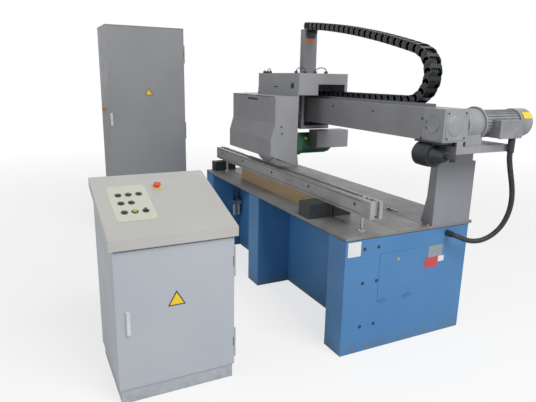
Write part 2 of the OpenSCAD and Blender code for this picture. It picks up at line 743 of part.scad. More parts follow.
module saw_hood() color("silver") {
  hood_end(after(hood_x[0], sheet_t));
  hood_end(before(hood_x[1], sheet_t));
  slab(hood_x, [hood_y[0] + hinge_d, hood_y[1]], before(hood_top_z, sheet_t));
  difference() {
    slab(hood_x, before(hood_y[1], sheet_t), [hood_rear_z, hood_top_z]);
    slab(about(blade_x, quill_slot), [hood_y[1] - sheet_t - cut, hood_y[1] + cut],
      [hood_rear_z - cut, blade_z + quill_slot / 2]);
  }
  slab(box_x, before(hood_y[1], sheet_t), [hood_top_z - sheet_t, box_z[0] + box_lap]);
  rod_x(hood_x, hood_pin_y, hood_pin_z, pin_d);
}

knuckle_len = 60;
skirt_h = 14;
module hood_cover() color("slategray") {
  outer = [[hood_y[0], hood_pin_z], [hood_y[0], hood_top_z - hood_break],
    [hood_y[0] - hood_flare, hood_top_z - hood_shoulder], [hood_y[0] - hood_flare, hood_front_z]];
  difference() {
    union() {
      prism_x(hood_x, concat(outer, reversed(shift_y(outer, sheet_t))));
      for (share = [0.1, 0.5, 0.9])
        rod_x(about(between(hood_x, share), knuckle_len), hood_pin_y, hood_pin_z, hinge_d);
    }
    rod_x(grow(hood_x, cut), hood_pin_y, hood_pin_z, pin_d + 2 * fit);
    for (x = [after(hood_x[0] - cut, sheet_t + eps + cut), before(hood_x[1] + cut, sheet_t + eps + cut)])
      slab(x, grow([hood_y[0], hood_y[0] + sheet_t], cut), [hood_pin_z - hinge_d, hood_top_z]);
  }
  slab(grow(hood_x, -sheet_t), after(hood_y[0] - hood_flare, sheet_t), before(hood_front_z, skirt_h));
}

cyl_d = 50;
cyl_bore = 40;
cyl_body = 300;
cyl_cap = 10;
piston_rod_d = 16;
cyl_x = slide_x[1] + cyl_d;
cyl_front = 15;
cyl_y = mid(slide_y) - cyl_front;
cyl_z = before(frame_top_z, cyl_body);
module plunge_cylinder() color("silver") difference() {
  rod_z(cyl_z, cyl_x, cyl_y, cyl_d);
  rod_z(grow(cyl_z, -cyl_cap), cyl_x, cyl_y, cyl_bore);
  rod_z([cyl_z[0] - cut, mid(cyl_z)], cyl_x, cyl_y, piston_rod_d + 2 * fit);
}

// Saw unit: slide, spindle housing, belt case and motor move up and down together
slide_up = 420;
slide_foot = 10;
slide_z = [motor_z - saw_motor_d / 2 - slide_foot, blade_z + slide_up];
lug_t = 16;
lug_z = before(cyl_z[0] - hood_pin_drop, lug_t);
module saw_slide() color("silver") {
  difference() {
    slab(slide_x, slide_y, slide_z);
    for (at = [[blade_x, blade_z], [motor_x, motor_z]])
      rod_y(grow(slide_y, cut), at[0], at[1], spindle_d + 2 * eps);
  }
  guide_pair(guide_w) slab([0, guide_w], [slide_y[1] - cut, front_plate_y[0] + guide_depth - eps],
    [motor_z + saw_flange_w / 2 + slide_foot, slide_z[1]]);
  slab([slide_x[1] - cut, cyl_x + piston_rod_d], [cyl_y - piston_rod_d, slide_y[1]], lug_z);
  rod_z([lug_z[1], cyl_z[1] - cyl_cap - cut], cyl_x, cyl_y, piston_rod_d);
  rod_z(before(cyl_z[1] - cyl_cap - cut, lug_t), cyl_x, cyl_y, cyl_bore - 2 * fit);
}

case_t = 55;
case_y = before(slide_y[0], case_t);
quill_y = [rail_r[1] + slide_foot, case_y[0]];
quill_lip = 12;
module spindle_housing() color("silver") difference() {
  union() {
    rod_y(quill_y, blade_x, blade_z, quill_d);
    rod_y(before(quill_y[1], quill_lip), blade_x, blade_z, quill_d + 2 * quill_lip);
  }
  rod_y(grow(quill_y, cut), blade_x, blade_z, spindle_d + 2 * fit);
}

case_r = [62, 84];
module belt_case() color("seagreen") difference() {
  union() {
    rod_y(case_y, blade_x, blade_z, 2 * case_r[0]);
    rod_y(case_y, motor_x, motor_z, 2 * case_r[1]);
    prism_y(case_y, [[blade_x - case_r[0], blade_z], [blade_x + case_r[0], blade_z],
      [motor_x + case_r[1], motor_z], [motor_x - case_r[1], motor_z]]);
  }
  rod_y([case_y[0] - cut, case_y[1] - quill_lip], blade_x, blade_z, spindle_d + 2 * fit);
}

saw_motor_len = 330;
saw_flange_t = 45;
saw_motor_y = after(slide_y[1], saw_motor_len + saw_flange_t);
chamfer = 25;
saw_flange_w = 200;
flange_corner = 40;
module saw_motor() color("seagreen") {
  prism_y(after(saw_motor_y[0], saw_flange_t), [for (c = [[-1, -1], [1, -1], [1, 1], [-1, 1]]) each
    [for (k = c[0] * c[1] > 0 ? [0, 1] : [1, 0]) [motor_x + c[0] * (saw_flange_w / 2 - (k == 0 ? 0 : flange_corner)),
      motor_z + c[1] * (saw_flange_w / 2 - slide_foot / 2 - (k == 0 ? flange_corner : 0))]]]);
  rod_y([saw_motor_y[0], saw_motor_y[1] - chamfer], motor_x, motor_z, saw_motor_d - 2 * fin_h);
  translate([motor_x, saw_motor_y[1] - chamfer, motor_z]) rotate([-90, 0, 0])
    cylinder(h = chamfer, d1 = saw_motor_d - 2 * fin_h, d2 = saw_motor_d - 2 * chamfer);
  for (i = [0:fin_count - 1]) translate([motor_x, 0, motor_z]) rotate([0, i * 360 / fin_count, 0])
    slab([saw_motor_d / 2 - 2 * fin_h, saw_motor_d / 2 - fin_h / 4],
      [saw_motor_y[0] + saw_flange_t, saw_motor_y[1] - 2 * chamfer], about(0, fin_t));
}

side_box_x = [motor_x + saw_motor_d / 3, motor_x + saw_motor_d];
side_box_gap_y = 130;
side_box_len = 325;
side_box_drop = 25;
side_box_clear = 11;
side_box_y = after(slide_y[1] + side_box_gap_y, side_box_len);
side_box_z = [motor_z - side_box_drop, floor_z[0] - side_box_clear];
module saw_side_box() color("lightgray") difference() {
  slab(side_box_x, side_box_y, side_box_z);
  rod_y([side_box_y[0] - cut, saw_motor_y[1] + eps], motor_x, motor_z, saw_motor_d - fin_h / 2 + 2 * eps);
}

flange_rim = 7;
flange_y = [blade_y - blade_t / 2 - flange_rim, blade_y + blade_t / 2 + flange_rim];
module saw_spindle() color("silver") difference() {
  union() {
    rod_y([flange_y[0], blade_y - blade_t / 2], blade_x, blade_z, flange_d);
    rod_y([blade_y + blade_t / 2, flange_y[1]], blade_x, blade_z, flange_d);
    rod_y([flange_y[0], case_y[1] - quill_lip - eps], blade_x, blade_z, spindle_d);
  }
}

gullet_d = 14;
tooth_lead = 6;
slit_w = 2;
slit_share = 0.16;
slits = 6;
module saw_blade() color("lightgray") difference() {
  rod_y(about(blade_y, blade_t), blade_x, blade_z, blade_d);
  rod_y(about(blade_y, blade_t + 2 * cut), blade_x, blade_z, spindle_d + 2 * fit);
  for (i = [0:blade_teeth - 1]) translate([blade_x, 0, blade_z]) rotate([0, i * 360 / blade_teeth, 0])
    prism_y(about(blade_y, blade_t + 2 * cut), [[blade_d / 2 - gullet_d, 0], [blade_d / 2 + cut, -tooth_lead / 2],
      [blade_d / 2 + cut, gullet_d + tooth_lead], [blade_d / 2 - tooth_lead / 2, gullet_d]]);
  for (i = [0:slits - 1]) translate([blade_x, 0, blade_z]) rotate([0, (i + 0.5) * 360 / slits, 0])
    slab([blade_d * (0.5 - slit_share), blade_d / 2 + cut], about(blade_y, blade_t + 2 * cut), about(0, slit_w));
}

// Access door in the drive end, hinged at its foot
access_pin_d = 5;
access_hinge_d = 9;
access_t = 2;
access_pin_x = end_x + access_hinge_d / 2 + eps;
access_pin_z = access_z[0] - access_lap - access_hinge_d / 2;
access_plate_y = grow(access_y, access_lap);
knuckle_w = 24;
lock_d = 26;
lock_drop = 42;
lock_z = access_z[1] - lock_drop;
lock_clear = 4;
lock_reach = lock_drop + lock_d / 4 - lock_clear;
lock_deep = 7;
keeper_w = 40;
keeper_h = 14;
lock_y = mid(access_y);
module access_knuckle(y) {
  slab([end_x - cut, access_pin_x], about(y, knuckle_w), [access_pin_z - access_hinge_d / 2, access_pin_z]);
  rod_y(about(y, knuckle_w), access_pin_x, access_pin_z, access_hinge_d);
  rod_y(about(y, 3 * knuckle_w), access_pin_x, access_pin_z, access_pin_d);
}
module access_door() color("steelblue") difference() {
  union() {
    slab(after(end_x + eps, access_t), access_plate_y, [access_pin_z, access_z[1] + access_lap]);
    for (y_share = access_hinge_shares)
      rod_y(about(between(access_plate_y, y_share), 3 * knuckle_w), access_pin_x, access_pin_z, access_hinge_d);
  }
  for (y_share = access_hinge_shares)
    rod_y(about(between(access_plate_y, y_share), knuckle_w + 2 * eps), access_pin_x, access_pin_z, access_hinge_d * 2);
  rod_y(grow(access_plate_y, cut), access_pin_x, access_pin_z, access_pin_d + 2 * fit);
  rod_x([end_x - cut, end_x + lock_d], lock_y, lock_z, lock_d - 2 * access_t + 2 * fit);
}
module access_lock() color("lightgray") difference() {
  union() {
    rod_x([end_x - lock_deep, end_x + 3 * eps + access_t], lock_y, lock_z, lock_d - 2 * access_t);
    rod_x(after(end_x + 2 * eps + access_t, access_t), lock_y, lock_z, lock_d);
    slab(before(end_x - lock_deep - eps, access_t), after(lock_y - lock_d / 4, lock_reach), about(lock_z, lock_d / 2));
  }
  slab([end_x + access_t, end_x + 3 * access_t + cut], about(lock_y, access_t * 1.5), about(lock_z, lock_d * 0.6));
}

// Console
lid_x = [console_x[0] - lid_over, console_x[1] + lid_over];
lid_y = grow(console_y, lid_over);
lid_angle = atan(lid_rise / (lid_x[1] - lid_x[0]));
lid_front_z = console_h + lid_skirt;
body_t = 3;
plinth_inset = 10;
lid_room = 12;
console_back_z = lid_front_z + lid_rise - lid_room;
door_gap = 3;
module wall_box(x, y, z, t) difference() {
  slab(x, y, z);
  slab([x[0] + t, x[1] + cut], grow(y, -t), grow(z, -t));
}
module frame_hinge(x, y, zs) for (z = zs) {
  rod_z(about(z, knuckle_len), x, y, hinge_d);
  rod_z(about(z, 3 * knuckle_len), x, y, pin_d);
  slab([x - door_t - hinge_d, x], [y - hinge_d / 4, y + hinge_d / 4], about(z, knuckle_len));
}
module door_leaf(x, y, z, hinge_at, zs) difference() {
  union() {
    slab(x, y, z);
    for (h = zs) rod_z(about(h, 3 * knuckle_len), hinge_at[0], hinge_at[1], hinge_d);
  }
  for (h = zs) rod_z(about(h, knuckle_len + 2 * eps), hinge_at[0], hinge_at[1], 2 * hinge_d);
  for (h = zs) rod_z(about(h, 3 * knuckle_len + 2 * cut), hinge_at[0], hinge_at[1], pin_d + 2 * fit);
}
console_door_x = before(console_x[1], door_t);
console_body_x = [console_x[0], console_door_x[0] - eps];
console_door_z = [console_plinth_h + door_gap, console_h - lid_room];
console_hinge = [console_x[1], console_y[1]];
console_hinge_z = [between(console_door_z, 0.18), between(console_door_z, 0.82)];
module console_body() color("lightgray") {
  difference() {
    prism_y(console_y, [[console_x[0], console_plinth_h], [console_body_x[1], console_plinth_h],
      [console_body_x[1], console_h - lid_room], [console_x[1], console_h - lid_room], [console_x[1], console_h],
      [console_x[0], console_back_z]]);
    prism_y(grow(console_y, -body_t), [[console_x[0] + body_t, console_plinth_h + body_t],
      [console_body_x[1] + cut, console_plinth_h + body_t], [console_body_x[1] + cut, console_h - lid_room - cut],
      [console_x[1] - body_t, console_h - lid_room - cut], [console_x[1] - body_t, lid_front_z + lid_rise], [console_x[0] + body_t, lid_front_z + lid_rise]]);
  }
  slab([console_x[0] + plinth_inset, console_x[1] - plinth_inset], grow(console_y, -plinth_inset), [0, console_plinth_h]);
  frame_hinge(console_hinge[0], console_hinge[1] + hinge_d / 4, console_hinge_z);
  for (share = [0.2, 0.8]) lid_knuckle(between(console_y, share));
}
lid_pin = [lid_x[0] - hinge_d / 2, lid_front_z + lid_rise - lid_skirt];
module lid_knuckle(y) {
  rod_y(about(y, knuckle_len), lid_pin[0], lid_pin[1], hinge_d);
  rod_y(about(y, 2 * knuckle_len), lid_pin[0], lid_pin[1], pin_d);
  slab([lid_pin[0], console_x[0] + cut], about(y, knuckle_len), [lid_pin[1] - hinge_d / 2, lid_pin[1] - hinge_d / 4]);
}
module console_door() color("lightgray") difference() {
  door_leaf(console_door_x, [console_y[0], console_y[1] - door_gap / 2], console_door_z,
    [console_hinge[0], console_hinge[1] + hinge_d / 4], console_hinge_z);
  rod_x(grow(console_door_x, cut), handle_y, handle_z[1] - handle_w, handle_w - 2 * fin_t + 2 * fit);
}
handle_w = 24;
handle_t = 14;
handle_inset = 60;
handle_y = console_y[0] + handle_inset;
handle_z = [408, 544];
module handle(x, y, z) {
  rod_x([x - door_t - fin_t, x + eps], y, z[1] - handle_w, handle_w - 2 * fin_t);
  slab(after(x + eps, fin_t), about(y, handle_w), z);
  slab([x + eps + fin_t, x + eps + handle_t], about(y, handle_w * 0.6), [z[0] + fin_t, z[1] - fin_t]);
  slab(before(x - door_t - eps, fin_t), [y, y + 2 * handle_w], about(z[1] - handle_w, handle_w / 2));
}
module console_handle() color("whitesmoke") handle(console_x[1], handle_y, handle_z);

module on_lid(u, y) translate([lid_x[1] - u * cos(lid_angle), y, lid_front_z + u * sin(lid_angle)])
  rotate([0, lid_angle, 0]) children();
button_d = 22;
bezel_d = 30;
bezel_h = 3;
bezel_play = 0.15;
estop_plate_d = 60;
panel_t = 1;
panel_u = [158, 533];
panel_w = 225;
lid_slope = (lid_x[1] - lid_x[0]) / cos(lid_angle);
row_u = [246, 340, 427];
column_y = [console_y[0] + 110, console_y[0] + 167, console_y[0] + 226];
button_at = [[row_u[2], column_y[0]], [row_u[2], column_y[1]], [row_u[2], column_y[2]], [row_u[1], column_y[0]],
  [row_u[1], column_y[1]], [row_u[0], column_y[0]], [row_u[0], column_y[1]]];
selector_at = [row_u[0], column_y[2]];
estop_at = [491, console_y[0] + 349];
module bezel_holes(at, d) on_lid(at[0], at[1]) translate([0, 0, -2 * button_d]) cylinder(h = 4 * button_d, d = d);
module console_lid() color("lightgray") difference() {
  union() {
    difference() {
      lid_shell(lid_x, lid_y, 0);
      lid_shell(grow(lid_x, -body_t), grow(lid_y, -body_t), body_t);
    }
    for (share = [0.2, 0.8]) rod_y(about(between(console_y, share), 2 * knuckle_len), lid_pin[0], lid_pin[1], hinge_d);
    for (share = [0.2, 0.8]) slab([lid_pin[0], lid_x[0] + body_t], about(between(console_y, share), 2 * knuckle_len),
      [lid_pin[1], lid_pin[1] + hinge_d]);
    on_lid(mid(panel_u), column_y[1]) slab(about(0, panel_u[1] - panel_u[0]), about(0, panel_w), [-panel_t, panel_t]);
    for (at = concat(button_at, [selector_at])) on_lid(at[0], at[1]) cylinder(h = bezel_h + panel_t, d = bezel_d);
    on_lid(estop_at[0], estop_at[1]) translate([0, 0, -panel_t]) cylinder(h = bezel_h + panel_t, d = estop_plate_d);
  }
  for (at = concat(button_at, [selector_at, estop_at])) bezel_holes(at, button_d + 2 * bezel_play);
  for (share = [0.2, 0.8]) rod_y(about(between(console_y, share), knuckle_len + 2 * eps), lid_pin[0], lid_pin[1], 2 * hinge_d);
  for (share = [0.2, 0.8]) rod_y(about(between(console_y, share), 3 * knuckle_len), lid_pin[0], lid_pin[1], pin_d + 2 * fit);
}
module lid_shell(x, y, down) {
  front = lid_front_z - down / cos(lid_angle) + (lid_x[1] - x[1]) * tan(lid_angle);
  rear = front + (x[1] - x[0]) * tan(lid_angle);
  low = down > 0 ? lid_skirt + cut : lid_skirt;
  prism_y(y, [[x[1], front], [x[0], rear], [x[0], rear - low], [x[1], front - low]]);
}
button_depth = 25;
button_rise = 8;
module push_button(i) on_lid(button_at[i][0], button_at[i][1]) {
  translate([0, 0, -button_depth]) cylinder(h = button_depth + button_rise, d = button_d);
}
module button_1() color("dimgray") push_button(0);
module button_2() color("dimgray") push_button(1);
module button_3() color("dimgray") push_button(2);
module button_4() color("dimgray") push_button(3);
module button_5() color("dimgray") push_button(4);
module button_6() color("dimgray") push_button(5);
module button_7() color("yellowgreen") push_button(6);
selector_w = 9;
module selector_switch() color("dimgray") on_lid(selector_at[0], selector_at[1]) {
  translate([0, 0, -button_depth]) cylinder(h = button_depth + button_rise, d = button_d);
  slab(about(0, button_d * 1.2), about(0, selector_w), [button_rise - fin_t, button_rise * 2]);
}
mushroom_d = 42;
estop_stroke = 6;
module emergency_stop() color("firebrick") on_lid(estop_at[0], estop_at[1]) {
  translate([0, 0, -button_depth]) cylinder(h = button_depth + bezel_h + estop_stroke + fin_t, d = button_d);
  translate([0, 0, bezel_h + estop_stroke + eps]) cylinder(h = button_rise, d1 = mushroom_d * 0.8, d2 = mushroom_d);
  translate([0, 0, bezel_h + estop_stroke + eps + button_rise]) cylinder(h = button_rise, d = mushroom_d);
}

// Cabinet
cabinet_door_x = before(cabinet_x[1], door_t);
cabinet_hinge = [cabinet_x[1], cabinet_y[1] + hinge_d / 4];
cabinet_plinth_h = 100;
cabinet_door_z = [cabinet_plinth_h + door_gap, cabinet_h - door_gap];
cabinet_hinge_z = [between(cabinet_door_z, 0.12), mid(cabinet_door_z), between(cabinet_door_z, 0.88)];
cabinet_handle_y = cabinet_y[0] + 18;
cabinet_handle_z = [1228, 1360];
switch_x = cabinet_x[0] + 207;
switch_z = 1377;
switch_d = 30;
switch_plate = 60;
module cabinet_body() color("gray") {
  difference() {
    union() {
      wall_box([cabinet_x[0], cabinet_door_x[0] - eps], cabinet_y, [cabinet_plinth_h, cabinet_h], body_t);
      slab(about(switch_x, switch_plate), before(cabinet_y[0], body_t), about(switch_z, switch_plate));
    }
    rod_y([cabinet_y[0] - fin_h, cabinet_y[0] + fin_h], switch_x, switch_z, switch_d / 2 + 2 * fit);
  }
  slab(grow(cabinet_x, -plinth_inset), grow(cabinet_y, -plinth_inset), [0, cabinet_plinth_h]);
  slab(after(cabinet_x[0] + body_t, body_t), grow(cabinet_y, -handle_inset), grow([cabinet_plinth_h, cabinet_h], -handle_inset));
  frame_hinge(cabinet_hinge[0], cabinet_hinge[1], cabinet_hinge_z);
}
module cabinet_door() color("gray") difference() {
  door_leaf(cabinet_door_x, [cabinet_y[0], cabinet_y[1] - door_gap / 2], cabinet_door_z, cabinet_hinge, cabinet_hinge_z);
  rod_x(grow(cabinet_door_x, cut), cabinet_handle_y, cabinet_handle_z[1] - handle_w, handle_w - 2 * fin_t + 2 * fit);
}
module cabinet_handle() color("whitesmoke") handle(cabinet_x[1], cabinet_handle_y, cabinet_handle_z);
module main_switch() color("orangered") {
  rod_y([cabinet_y[0] - body_t - fin_h, cabinet_y[0] + fin_h], switch_x, switch_z, switch_d / 2);
  rod_y(before(cabinet_y[0] - body_t - eps, fin_h), switch_x, switch_z, switch_d * 1.4);
  slab(about(switch_x, switch_d / 2), before(cabinet_y[0] - body_t - eps, 2 * fin_h + fin_t), about(switch_z, switch_d * 1.3));
}

base_cabinet();
base_pedestals();
table_plate();
support_board();
end_block();
uprights();
beam_brackets();
gantry_beam();
end_heads();
motor_tray();
guide_rails();
drive_belt();
gearbox();
drive_motor();
motor_hose();
hose_glands();
auxiliary_motor();
chain_lower();
air_service_unit();
clamp_cylinders();
console_body();
cabinet_body();
drive_pulley();
idler_pulley();
chain_bend();
carriage_box();
carriage_frame();
carriage_rear_plate();
chain_mast();
chain_upper();
saw_hood();
plunge_cylinder();
hood_cover();
saw_slide();
spindle_housing();
belt_case();
saw_motor();
saw_side_box();
saw_spindle();
saw_blade();
clamp_beam();
clamp_rods();
access_door();
access_lock();
regulator_knob();
console_door();
console_handle();
console_lid();
button_1();
button_2();
button_3();
button_4();
button_5();
button_6();
button_7();
selector_switch();
emergency_stop();
cabinet_door();
cabinet_handle();
main_switch();
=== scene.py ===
"""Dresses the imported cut-off machine, its operator console and its electrical cabinet."""

import math

import bmesh
import bpy
from mathutils import Matrix, Vector


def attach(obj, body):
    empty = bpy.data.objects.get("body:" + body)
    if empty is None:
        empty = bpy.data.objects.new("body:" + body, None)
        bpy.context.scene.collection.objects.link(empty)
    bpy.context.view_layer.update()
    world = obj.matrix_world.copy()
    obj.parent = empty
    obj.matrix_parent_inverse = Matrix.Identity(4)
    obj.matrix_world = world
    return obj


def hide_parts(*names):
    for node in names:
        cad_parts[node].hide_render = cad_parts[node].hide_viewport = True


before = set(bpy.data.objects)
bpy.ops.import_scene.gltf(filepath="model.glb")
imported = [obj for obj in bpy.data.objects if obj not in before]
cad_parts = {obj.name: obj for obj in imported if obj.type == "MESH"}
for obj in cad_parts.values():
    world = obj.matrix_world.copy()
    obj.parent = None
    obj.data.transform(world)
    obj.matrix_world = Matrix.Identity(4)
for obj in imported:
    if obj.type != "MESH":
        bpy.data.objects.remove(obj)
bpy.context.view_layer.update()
MM = 0.001


# Camera, lamps and floor

CAMERA_PLACE = (3.5982, -2.2309, 1.7372)
CAMERA_YAW = 2.6762
CAMERA_DOWN = 0.2427
CAMERA_ROLL = 0.0187
CAMERA_LENS, SENSOR_WIDTH, FARTHEST_VIEW = 33.35, 36, 200


def set_camera():
    """The camera stands in front of the drive end, a little above the table."""
    forward = Vector(
        (
            math.cos(CAMERA_DOWN) * math.cos(CAMERA_YAW),
            math.cos(CAMERA_DOWN) * math.sin(CAMERA_YAW),
            -math.sin(CAMERA_DOWN),
        )
    )
    right = forward.cross(Vector((0, 0, 1))).normalized()
    up = right.cross(forward)
    turned_right = right * math.cos(CAMERA_ROLL) + up * math.sin(CAMERA_ROLL)
    turned_up = up * math.cos(CAMERA_ROLL) - right * math.sin(CAMERA_ROLL)
    turn = Matrix((turned_right, turned_up, -forward)).transposed().to_4x4()
    data = bpy.data.cameras.new("camera")
    data.sensor_fit = "HORIZONTAL"
    data.sensor_width = SENSOR_WIDTH
    data.lens = CAMERA_LENS
    data.clip_end = FARTHEST_VIEW
    camera = bpy.data.objects.new("camera", data)
    bpy.context.collection.objects.link(camera)
    camera.matrix_world = Matrix.Translation(CAMERA_PLACE) @ turn
    bpy.context.scene.camera = camera


def softbox(name, place, aim, size, watts):
    """A square studio lamp of that size in metres, turned to a point."""
    data = bpy.data.lights.new(name, "AREA")
    data.shape = "SQUARE"
    data.size = size
    data.energy = watts
    lamp = bpy.data.objects.new(name, data)
    bpy.context.collection.objects.link(lamp)
    lamp.location = place
    lamp.rotation_euler = (Vector(aim) - Vector(place)).to_track_quat("-Z", "Y").to_euler()


# One node at a time


def node(tree, kind, inputs=None, **settings):
    """Adds a node. inputs maps a socket's name or number to a value or to another node's output."""
    made = tree.nodes.new(kind)
    for key, value in settings.items():
        setattr(made, key, value)
    for key, value in (inputs or {}).items():
        if isinstance(value, bpy.types.NodeSocket):
            tree.links.new(value, made.inputs[key])
        else:
            made.inputs[key].default_value = value
    return made


def srgb(hex_text):
    """The linear colour of an sRGB hex value."""
    values = [int(hex_text[i : i + 2], 16) / 255 for i in (1, 3, 5)]
    return [v / 12.92 if v <= 0.04045 else ((v + 0.055) / 1.055) ** 2.4 for v in values] + [1.0]


def surface(name):
    """A new material, its tree, its shader and the object's own coordinates in metres."""
    made = bpy.data.materials.new(name)
    made.use_nodes = True
    tree = made.node_tree
    shader = tree.nodes["Principled BSDF"]
    place = node(tree, "ShaderNodeTexCoord").outputs["Object"]
    return made, tree, shader, place


def patches(tree, place, size_mm, low, high, stretch=(1, 1, 1), detail=3.0, seed=0.0):
    """Soft noise with patches of that size, from low to high. A larger stretch is finer."""
    spread = node(
        tree,
        "ShaderNodeMapping",
        {
            "Vector": place,
            "Location": (seed, seed, seed),
            "Scale": [s / (size_mm * MM) for s in stretch],
        },
    )
    noise = node(
        tree,
        "ShaderNodeTexNoise",
        {"Vector": spread.outputs[0], "Scale": 1.0, "Detail": detail},
    )
    return node(
        tree,
        "ShaderNodeMapRange",
        {
            "Value": noise.outputs[0],
            "From Min": 0.32,
            "From Max": 0.68,
            "To Min": low,
            "To Max": high,
        },
    ).outputs[0]


def height(tree, place, low_mm, high_mm, low=0.0, high=1.0):
    """Goes from low to high as the height goes between two values in millimetres."""
    parts = node(tree, "ShaderNodeSeparateXYZ", {0: place})
    return node(
        tree,
        "ShaderNodeMapRange",
        {
            "Value": parts.outputs[2],
            "From Min": low_mm * MM,
            "From Max": high_mm * MM,
            "To Min": low,
            "To Max": high,
        },
    ).outputs[0]


def tinted(tree, factor, first, second):
    """A colour that goes from the first to the second as the factor goes from 0 to 1."""
    first, second = (srgb(c) if isinstance(c, str) else c for c in (first, second))
    return node(
        tree, "ShaderNodeMix", {0: factor, 6: first, 7: second}, data_type="RGBA"
    ).outputs[2]


def times(tree, first, second):
    """The product of two values."""
    return node(tree, "ShaderNodeMath", {0: first, 1: second}, operation="MULTIPLY").outputs[0]


def dented(tree, shader, relief, depth_mm, strength=1.0):
    """Gives the shader a relief of that depth."""
    bump = node(
        tree,
        "ShaderNodeBump",
        {"Height": relief, "Distance": depth_mm * MM, "Strength": strength},
    )
    tree.links.new(bump.outputs[0], shader.inputs["Normal"])


# Finishes


def powder_coat(name, colour, shade, peel_mm=5, peel_depth=0.25, rough=0.42, floor_dirt=None):
    """Polyester powder coat on sheet steel: satin, fine orange peel, and dirt near the floor."""
    made, tree, shader, place = surface(name)
    cloud = patches(tree, place, 420, 0.0, 0.8, detail=4)
    skin = tinted(tree, cloud, colour, shade)
    if floor_dirt:
        low = height(tree, place, 10, 110, 0.75, 0.0)
        scuffs = times(tree, low, patches(tree, place, 55, 0.1, 1.0, seed=3, detail=6))
        skin = tinted(tree, scuffs, skin, floor_dirt)
    tree.links.new(skin, shader.inputs["Base Color"])
    tree.links.new(
        patches(tree, place, 160, rough - 0.05, rough + 0.08, seed=7),
        shader.inputs["Roughness"],
    )
    shader.inputs["IOR"].default_value = 1.5
    dented(tree, shader, patches(tree, place, peel_mm, 0, 1, detail=1, seed=1), peel_depth)
    return made


def brushed_enamel(name, colour, shade, rough=0.4):
    """Two-pack enamel over filled castings and welded plate: broad waves under the gloss."""
    made, tree, shader, place = surface(name)
    skin = tinted(tree, patches(tree, place, 260, 0.0, 1.0, detail=5), colour, shade)
    tree.links.new(skin, shader.inputs["Base Color"])
    tree.links.new(
        patches(tree, place, 90, rough - 0.07, rough + 0.1, seed=5),
        shader.inputs["Roughness"],
    )
    dented(tree, shader, patches(tree, place, 30, 0, 1, detail=2, seed=2), 0.5)
    return made


def cast_enamel(name, colour, shade, grain_mm=7, depth=0.8, rough=0.45):
    """Sprayed enamel on a sand casting: the grain of the sand shows through as a coarse relief."""
    made, tree, shader, place = surface(name)
    skin = tinted(tree, patches(tree, place, 70, 0.0, 1.0, detail=5), colour, shade)
    tree.links.new(skin, shader.inputs["Base Color"])
    shader.inputs["Roughness"].default_value = rough
    dented(tree, shader, patches(tree, place, grain_mm, 0, 1, detail=3, seed=4), depth)
    return made


def ground_steel(name, colour, stain, stretch, rough, metallic):
    """Ground steel plate with an oil film: fine lines along the grinding, and brown stains."""
    made, tree, shader, place = surface(name)
    lines = patches(tree, place, 30, 0.0, 1.0, stretch=stretch, detail=6)
    puddles = patches(tree, place, 210, -0.5, 1.0, detail=6, seed=9)
    puddles = node(tree, "ShaderNodeClamp", {0: puddles}).outputs[0]
    skin = tinted(tree, times(tree, puddles, 0.8), colour, stain)
    darker = tinted(tree, 0.35, skin, "#3c3a37")
    skin = tinted(tree, times(tree, lines, 0.5), skin, darker)
    tree.links.new(skin, shader.inputs["Base Color"])
    shader.inputs["Metallic"].default_value = metallic
    tree.links.new(
        patches(tree, place, 40, rough - 0.1, rough + 0.12, stretch=stretch, seed=2),
        shader.inputs["Roughness"],
    )
    dented(tree, shader, lines, 0.05, 0.4)
    return made


def bright_steel(name, colour="#c9c9c6", rough=0.24, stretch=(1, 1, 1)):
    """Turned or zinc-plated steel: bright, with faint tool marks."""
    made, tree, shader, place = surface(name)
    marks = patches(tree, place, 5, 0.0, 1.0, stretch=stretch, detail=4)
    tree.links.new(
        tinted(tree, times(tree, marks, 0.35), colour, "#8f8e8a"),
        shader.inputs["Base Color"],
    )
    shader.inputs["Metallic"].default_value = 1.0
    tree.links.new(
        patches(tree, place, 3, rough - 0.06, rough + 0.14, stretch=stretch, seed=6),
        shader.inputs["Roughness"],
    )
    return made


def moulded_plastic(name, colour, shade, rough=0.4, grain_mm=1.5, depth=0.05):
    """Injection-moulded polyamide or ABS: a fine spark-eroded grain and slight flow clouds."""
    made, tree, shader, place = surface(name)
    tree.links.new(
        tinted(tree, patches(tree, place, 45, 0.0, 1.0, detail=4), colour, shade),
        shader.inputs["Base Color"],
    )
    shader.inputs["Roughness"].default_value = rough
    shader.inputs["IOR"].default_value = 1.53
    dented(tree, shader, patches(tree, place, grain_mm, 0, 1, detail=1), depth)
    return made


def dull_rubber(name, colour, shade):
    """Black rubber and PVC: matt, with a grey bloom of dust."""
    made, tree, shader, place = surface(name)
    dust = patches(tree, place, 35, 0.0, 1.0, detail=6)
    tree.links.new(tinted(tree, dust, colour, shade), shader.inputs["Base Color"])
    tree.links.new(patches(tree, place, 14, 0.45, 0.75, seed=2), shader.inputs["Roughness"])
    dented(tree, shader, patches(tree, place, 4, 0, 1, detail=2, seed=8), 0.15)
    return made


def sawn_board(name):
    """Sawn softwood: long grain along X, with growth rings a few millimetres apart."""
    made, tree, shader, place = surface(name)
    long = node(tree, "ShaderNodeMapping", {"Vector": place, "Scale": (1.1, 13, 17)}).outputs[0]
    rings = node(
        tree,
        "ShaderNodeTexWave",
        {"Vector": long, "Scale": 1.4, "Distortion": 5.5, "Detail": 4.0, "Detail Scale": 1.6},
        bands_direction="Z",
    ).outputs["Fac"]
    fibres = patches(tree, place, 40, 0.0, 1.0, stretch=(0.6, 22, 22), detail=5)
    skin = tinted(tree, times(tree, rings, 0.75), "#b9a582", "#957d5a")
    skin = tinted(tree, times(tree, fibres, 0.4), skin, "#7b6547")
    tree.links.new(skin, shader.inputs["Base Color"])
    shader.inputs["Roughness"].default_value = 0.72
    dented(tree, shader, fibres, 0.4, 0.6)
    return made


